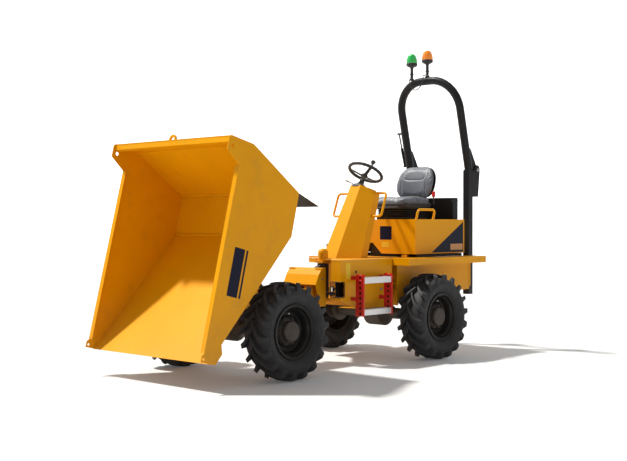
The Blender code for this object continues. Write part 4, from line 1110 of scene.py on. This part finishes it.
def pillow(name, centre, half, power, shape, node, cap):
    """A stuffed form: a rounded block, shaped, remeshed and blown up as cloth, within a cap."""
    bm = bmesh.new()
    bmesh.ops.create_cube(bm, size=2.0)
    bmesh.ops.subdivide_edges(bm, edges=bm.edges, cuts=15, use_grid_fill=True)
    for vert in bm.verts:
        reach = sum(abs(c) ** power for c in vert.co) ** (1 / power)
        unit = vert.co / reach
        vert.co = Vector(centre) + shape(unit, Vector((unit.x * half[0], unit.y * half[1], unit.z * half[2])))
    mesh = bpy.data.meshes.new(name)
    bm.to_mesh(mesh)
    bm.free()
    made = bpy.data.objects.new(name, mesh)
    bpy.context.collection.objects.link(made)
    grid = made.modifiers.new("even_mesh", "REMESH")
    grid.mode = "VOXEL"
    grid.voxel_size = 0.007
    bpy.context.view_layer.update()
    graph = bpy.context.evaluated_depsgraph_get()
    made.data = bpy.data.meshes.new_from_object(made.evaluated_get(graph))
    made.modifiers.clear()
    rest = [v.co.copy() for v in made.data.vertices]
    cloth = made.modifiers.new("stuffing", "CLOTH")
    cloth.settings.use_pressure = True
    cloth.settings.uniform_pressure_force = 4.0
    cloth.settings.quality = 4
    cloth.settings.effector_weights.gravity = 0
    scene = bpy.context.scene
    for step in range(1, 13):
        scene.frame_set(step)
    graph = bpy.context.evaluated_depsgraph_get()
    blown = bpy.data.meshes.new_from_object(made.evaluated_get(graph))
    for vert, old in zip(blown.vertices, rest):
        move = vert.co - old
        if move.length > cap:
            vert.co = old + move * (cap / move.length)
    made.modifiers.clear()
    made.data = blown
    scene.frame_set(1)
    made.data.materials.clear()
    made.data.materials.append(grey_vinyl)
    made.data.shade_smooth()
    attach(made, "cover")
    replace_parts(made, node)
    return made


def groove(made, distance, depth, width, facing):
    """Presses a sewn channel into a pillow where distance(co) is near zero on its facing side."""
    for vert in made.data.vertices:
        if vert.normal.dot(facing) > 0.35:
            near = abs(distance(vert.co)) / width
            if near < 1:
                vert.co -= facing * depth * (1 - near * near)


def add_rounds(made):
    rounds = made.modifiers.new("rounds", "SUBSURF")
    rounds.levels = 1
    rounds.render_levels = 1


seat_low, seat_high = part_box("seat_cushion")
back_low, back_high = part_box("seat_back")


def seat_cushion():
    centre = (seat_low + seat_high) / 2
    half = (seat_high - seat_low) / 2 - Vector((0.014, 0.014, 0.012))

    def shape(unit, co):
        co.z += 0.018 * max(0.0, abs(unit.x) - 0.45) * (1 if unit.z > 0 else 0)
        co.z -= 0.012 * (1 - unit.x ** 2) * (1 if unit.z > 0 else 0)
        co.x *= 1 - 0.05 * (1 - abs(unit.y)) * abs(unit.x)
        return co

    made = pillow("seat_cushion_pad", centre, half, 6.0, shape, "seat_cushion", 0.022)
    for inner in (0.120, -0.120):
        groove(made, lambda co: co.x - centre.x - inner, 0.006, 0.008, Vector((0, 0, 1)))
    groove(made, lambda co: co.y - seat_low.y - 0.130, 0.005, 0.008, Vector((0, 0, 1)))
    add_rounds(made)
    bm = bmesh.new()
    outline = [(centre.x + x, centre.y + y, seat_low.z + 0.030)
               for x, y in squared(56, 0.34, half.x + 0.010, half.y + 0.010)]
    tube(bm, outline, 0.0038, 8, closed=True)
    piece("cushion_piping", bm, "cover", black_vinyl)


def seat_back():
    """Bucket back: the sides come forward, the top is narrower and rounded."""
    centre = (back_low + back_high) / 2
    half = Vector(((back_high.x - back_low.x) / 2 - 0.012, 0.032, (back_high.z - back_low.z) / 2 + 0.006))
    lean = math.radians(13)

    def waist(up):
        return 1 - 0.26 * max(0.0, up) ** 2 - 0.16 * max(0.0, -up) ** 2

    def shape(unit, co):
        co.x *= waist(unit.z)
        co.y -= 0.045 * abs(unit.x) ** 2.2
        co.y += unit.z * half.z * math.tan(lean)
        co.y += 0.006 - 0.012 * math.cos(unit.z * 2.2)
        return co

    made = pillow("seat_back_pad", centre + Vector((0, 0.004, -0.014)), half, 4.6, shape, "seat_back", 0.016)

    def panel(co):
        x = abs(co.x) / 0.125
        z = (co.z - centre.z - 0.070) / 0.058
        return (max(x ** 4 + z ** 4, 1e-6) ** 0.25 - 1) * 0.058

    def bolster(co):
        z = (co.z - centre.z) / half.z
        return abs(co.x) - 0.150 * (1 - 0.25 * max(0, z) ** 2)

    facing = Vector((0, -1, 0.15)).normalized()
    groove(made, panel, 0.0055, 0.008, facing)
    groove(made, bolster, 0.0050, 0.009, facing)
    add_rounds(made)
    bm = bmesh.new()
    rows = []
    across, tall = 24, 16
    for j in range(tall + 1):
        v = -1 + 2 * j / tall
        row = []
        narrow = waist(v)
        for k in range(across + 1):
            u = -1 + 2 * k / across
            limit = (1 - abs(v) ** 4.6) ** (1 / 4.6) if abs(v) < 1 else 0.25
            x = u * half.x * narrow * max(limit, 0.35) * 1.02
            y = centre.y + 0.040 - 0.045 * abs(u) ** 2.2 + v * half.z * math.tan(lean) + 0.006
            row.append(Vector((x, y, centre.z - 0.014 + v * (half.z - 0.004))))
        rows.append(row)
    front = [[bm.verts.new(p) for p in row] for row in rows]
    rear = [[bm.verts.new(p + Vector((0, 0.010, 0))) for p in row] for row in rows]
    for grid in (front, rear):
        for j in range(tall):
            for k in range(across):
                bm.faces.new((grid[j][k], grid[j][k + 1], grid[j + 1][k + 1], grid[j + 1][k]))
    rim_of = [(0, k) for k in range(across)] + [(j, across) for j in range(tall)]
    rim_of += [(tall, k) for k in range(across, 0, -1)] + [(j, 0) for j in range(tall, 0, -1)]
    for (j0, k0), (j1, k1) in zip(rim_of, rim_of[1:] + rim_of[:1]):
        bm.faces.new((front[j0][k0], front[j1][k1], rear[j1][k1], rear[j0][k0]))
    piece("seat_back_shell", bm, "cover", black_moulding, 60)


def seat_base():
    """Ribbed rubber bellows between two pressed pans, on slide rails."""
    low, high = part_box("seat_base")
    centre = (low + high) / 2
    half = (high - low) / 2
    ribs = [(0.94, 0.0), (0.98, 0.006), (0.98, 0.018), (0.90, 0.022)]
    for k in range(4):
        z = 0.026 + k * 0.018
        ribs += [(0.88, z), (0.97, z + 0.009), (0.88, z + 0.017)]
    ribs += [(0.98, 0.100), (1.0, 0.106), (1.0, 0.1165)]
    bm = bmesh.new()
    skin(bm, [[bm.verts.new((centre.x + x, centre.y + y, low.z + up))
               for x, y in squared(64, 0.4, half.x * grow, half.y * grow)] for grow, up in ribs])
    bellows = piece("seat_bellows", bm, "cover", rubber, 50)
    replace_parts(bellows, "seat_base")
    bm = bmesh.new()
    left, right, front, level = low.x + 0.035, high.x - 0.035, low.y - 0.030, high.z - 0.004
    for x in (left, right):
        tube(bm, [(x, front, level), (x, high.y - 0.020, level)], 0.006, 10)
    lever = [(left, front, level), (left, front - 0.025, level), (right, front - 0.025, level),
             (right, front, level)]
    tube(bm, bent(lever, 0.015), 0.005, 10)
    piece("seat_slides", bm, "cover", black_moulding)
    bm = bmesh.new()
    block(bm, (seat_low.x + 0.016, seat_low.y + 0.014, high.z + 0.0005),
          (seat_high.x - 0.016, seat_high.y - 0.020, seat_low.z + 0.030))
    bmesh.ops.bevel(bm, geom=bm.edges[:], offset=0.012, segments=4, affect="EDGES")
    piece("seat_pan", bm, "cover", black_moulding)


def belt():
    """Red buckle on a stalk at the left hip and a retractor at the right."""
    x = seat_high.x + 0.002
    y = seat_high.y - 0.035
    z = seat_high.z - 0.050
    bm = bmesh.new()
    block(bm, (x, y - 0.018, z + 0.052), (x + 0.022, y + 0.018, z + 0.108))
    bmesh.ops.bevel(bm, geom=bm.edges[:], offset=0.005, segments=3, affect="EDGES")
    piece("belt_buckle", bm, "cover", red_grip)
    bm = bmesh.new()
    stalk = [(x + 0.010, y + 0.004, z - 0.020), (x + 0.012, y + 0.002, z + 0.020), (x + 0.011, y, z + 0.056)]
    tube(bm, stalk, 0.007, 10)
    block(bm, (-x - 0.030, y - 0.030, z - 0.020), (-x - 0.002, y + 0.040, z + 0.050))
    long_edges = [edge for edge in bm.edges if edge.calc_length() > 0.02]
    bmesh.ops.bevel(bm, geom=long_edges, offset=0.004, segments=2, affect="EDGES")
    piece("belt_stalk_and_reel", bm, "cover", black_moulding)


seat_cushion()
seat_back()
seat_base()
belt()


# ---- Roll-over hoop -----------------------------------------------------------------------
# A bent tube on two square posts. It folds back on a pin behind each leg; a locking strut
# stands outside the right leg, and the beacons are on its crown.
for name in ("hoop_post_left", "hoop_post_right"):
    dress(name, black_paint, 0.003)
FOLD_PIN = Vector(joint_by_name["hoop_fold"]["pos_m"])
TUBE_RADIUS = 0.039
LEG_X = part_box("rops_hoop")[1].x - TUBE_RADIUS
HOOP_FOOT_Y = AXLE_Y + 2.835
HOOP_LEAN = math.radians(13.6)
HOOP_UP = Vector((0, -math.sin(HOOP_LEAN), math.cos(HOOP_LEAN)))
CROWN_Z = 2.625
HOOP_RISE = (CROWN_Z - FOLD_PIN.z) / math.cos(HOOP_LEAN)


def on_hoop(x, along):
    return Vector((x, HOOP_FOOT_Y, FOLD_PIN.z)) + HOOP_UP * along


def hoop_tube():
    points = [on_hoop(x, along) for x, along in
              ((-LEG_X, 0.004), (-LEG_X, HOOP_RISE), (LEG_X, HOOP_RISE), (LEG_X, 0.004))]
    bm = bmesh.new()
    tube(bm, bent(points, 0.300, 22), TUBE_RADIUS, 32)
    for side in (1, -1):
        foot_y = HOOP_FOOT_Y - FOLD_PIN.y
        plate = [(foot_y - 0.005, 0.045), (foot_y - 0.068, 0.255), (foot_y + 0.017, 0.200)]
        for degrees in range(60, -101, -16):
            a = math.radians(degrees)
            plate.append((0.034 * math.cos(a), 0.034 * math.sin(a)))
        plate.append((foot_y + 0.030, 0.012))
        skin(bm, [[bm.verts.new((side * LEG_X + x, FOLD_PIN.y + y, FOLD_PIN.z + z)) for y, z in plate]
                  for x in (-0.015, 0.015)])
    hoop = piece("hoop_tube", bm, "hoop", black_paint)
    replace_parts(hoop, "rops_hoop")
    bm = bmesh.new()
    for side in (1, -1):
        for out in (-1, 1):
            bolt(bm, (side * LEG_X + out * 0.036, FOLD_PIN.y, FOLD_PIN.z), (out, 0, 0), 0.014)
    piece("hoop_pin_nuts", bm, "rear_chassis", bright_zinc)
    for name in ("hoop_post_left", "hoop_post_right"):
        low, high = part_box(name)
        x, y, top = (low.x + high.x) / 2, HOOP_FOOT_Y, FOLD_PIN.z
        bm = bmesh.new()
        block(bm, (x - 0.033, y - 0.040, top - 0.0105), (x + 0.033, y + 0.020, top - 0.001))
        bmesh.ops.bevel(bm, geom=bm.edges[:], offset=0.002, segments=2, affect="EDGES")
        piece(name + "_pad", bm, "rear_chassis", rubber)


def locking_strut():
    """Gas strut outside the right leg; it rides on the hoop, parked along the tube."""
    x = -LEG_X - 0.060
    bm = bmesh.new()
    low, mid, top = on_hoop(x, 0.060), on_hoop(x - 0.010, 0.250), on_hoop(x - 0.018, 0.400)
    tube(bm, [low, mid], 0.014, 16)
    tube(bm, [mid, top], 0.007, 12)
    for at in (low, top):
        tube(bm, [at - Vector((0.018, 0, 0)), Vector((-LEG_X - 0.030, at.y, at.z))], 0.010, 12)
    spun(bm, [(0, -0.006), (0.017, -0.006), (0.017, 0.010), (0, 0.010)], low, HOOP_UP, 16)
    piece("hoop_strut", bm, "hoop", black_paint)


def lens(name, deep, bright):
    material, shade, place = start_finish(name)
    glow = place.noise(60.0, 2.0)
    return close_finish(material, shade, glow.mix(deep, bright), 0.10 + glow * 0.06, 0.0, glow, 0.0004, 0.2,
                        {"Coat Weight": 0.7, "Emission Color": (*bright, 1), "Emission Strength": 0.10})


def beacons():
    for name, deep, bright in (("green", (0.004, 0.26, 0.035), (0.02, 0.62, 0.12)),
                               ("amber", (0.72, 0.13, 0.003), (0.98, 0.34, 0.02))):
        low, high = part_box(f"beacon_{name}")
        at = Vector(((low.x + high.x) / 2, (low.y + high.y) / 2, low.z))
        bm = bmesh.new()
        foot = [(0, -0.006), (0.022, -0.006), (0.022, 0.006), (0.016, 0.012), (0.0145, 0.014),
                (0.0145, 0.048), (0.0190, 0.050), (0.0190, 0.060), (0.0145, 0.062), (0.0145, 0.112),
                (0.020, 0.124), (0.044, 0.134), (0.054, 0.142), (0.0555, 0.150), (0.0555, 0.162),
                (0.052, 0.166), (0, 0.166)]
        spun(bm, foot, at, (0, 0, 1), 32)
        piece(f"beacon_{name}_foot", bm, "hoop", black_moulding)
        bm = bmesh.new()
        steps, flutes = 72, 18
        dome = [(0.0505, 0.166), (0.0530, 0.172), (0.0520, 0.190), (0.0470, 0.214), (0.0400, 0.236),
                (0.0310, 0.251), (0.0180, 0.258), (0, 0.260)]
        rings = []
        for radius, up in dome:
            ring = []
            for k in range(steps if radius else 1):
                a = 2 * math.pi * k / steps
                ribbed = radius * (1 + 0.030 * math.cos(a * flutes) * (1 if up < 0.24 else 0.3))
                ring.append(bm.verts.new(at + Vector((ribbed * math.cos(a), ribbed * math.sin(a), up))))
            rings.append(ring)
        skin(bm, rings, capped=False)
        bm.faces.new(rings[0])
        finish = lens(f"{name}_lens", deep, bright)
        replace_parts(piece(f"beacon_{name}_lens", bm, "hoop", finish), f"beacon_{name}")


def beacon_lead():
    """Short fixed lead that droops before the tube between the two stems."""
    ends = []
    for node, inward in (("beacon_green", 0.010), ("beacon_amber", -0.010)):
        low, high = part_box(node)
        ends.append(Vector(((low.x + high.x) / 2 + inward, (low.y + high.y) / 2 - 0.010, low.z + 0.020)))
    start, end = ends
    path = [start, start + Vector((0.010, -0.036, -0.012))]
    for t in (k / 12 for k in range(13)):
        path.append(start.lerp(end, t) + Vector((0, -0.046, -0.030 - 0.110 * (t * (1 - t) * 4) ** 0.6)))
    path += [end + Vector((-0.010, -0.036, -0.012)), end]
    bm = bmesh.new()
    tube(bm, path, 0.0045, 8)
    piece("beacon_lead", bm, "hoop", black_moulding)


hoop_tube()
locking_strut()
beacons()
beacon_lead()
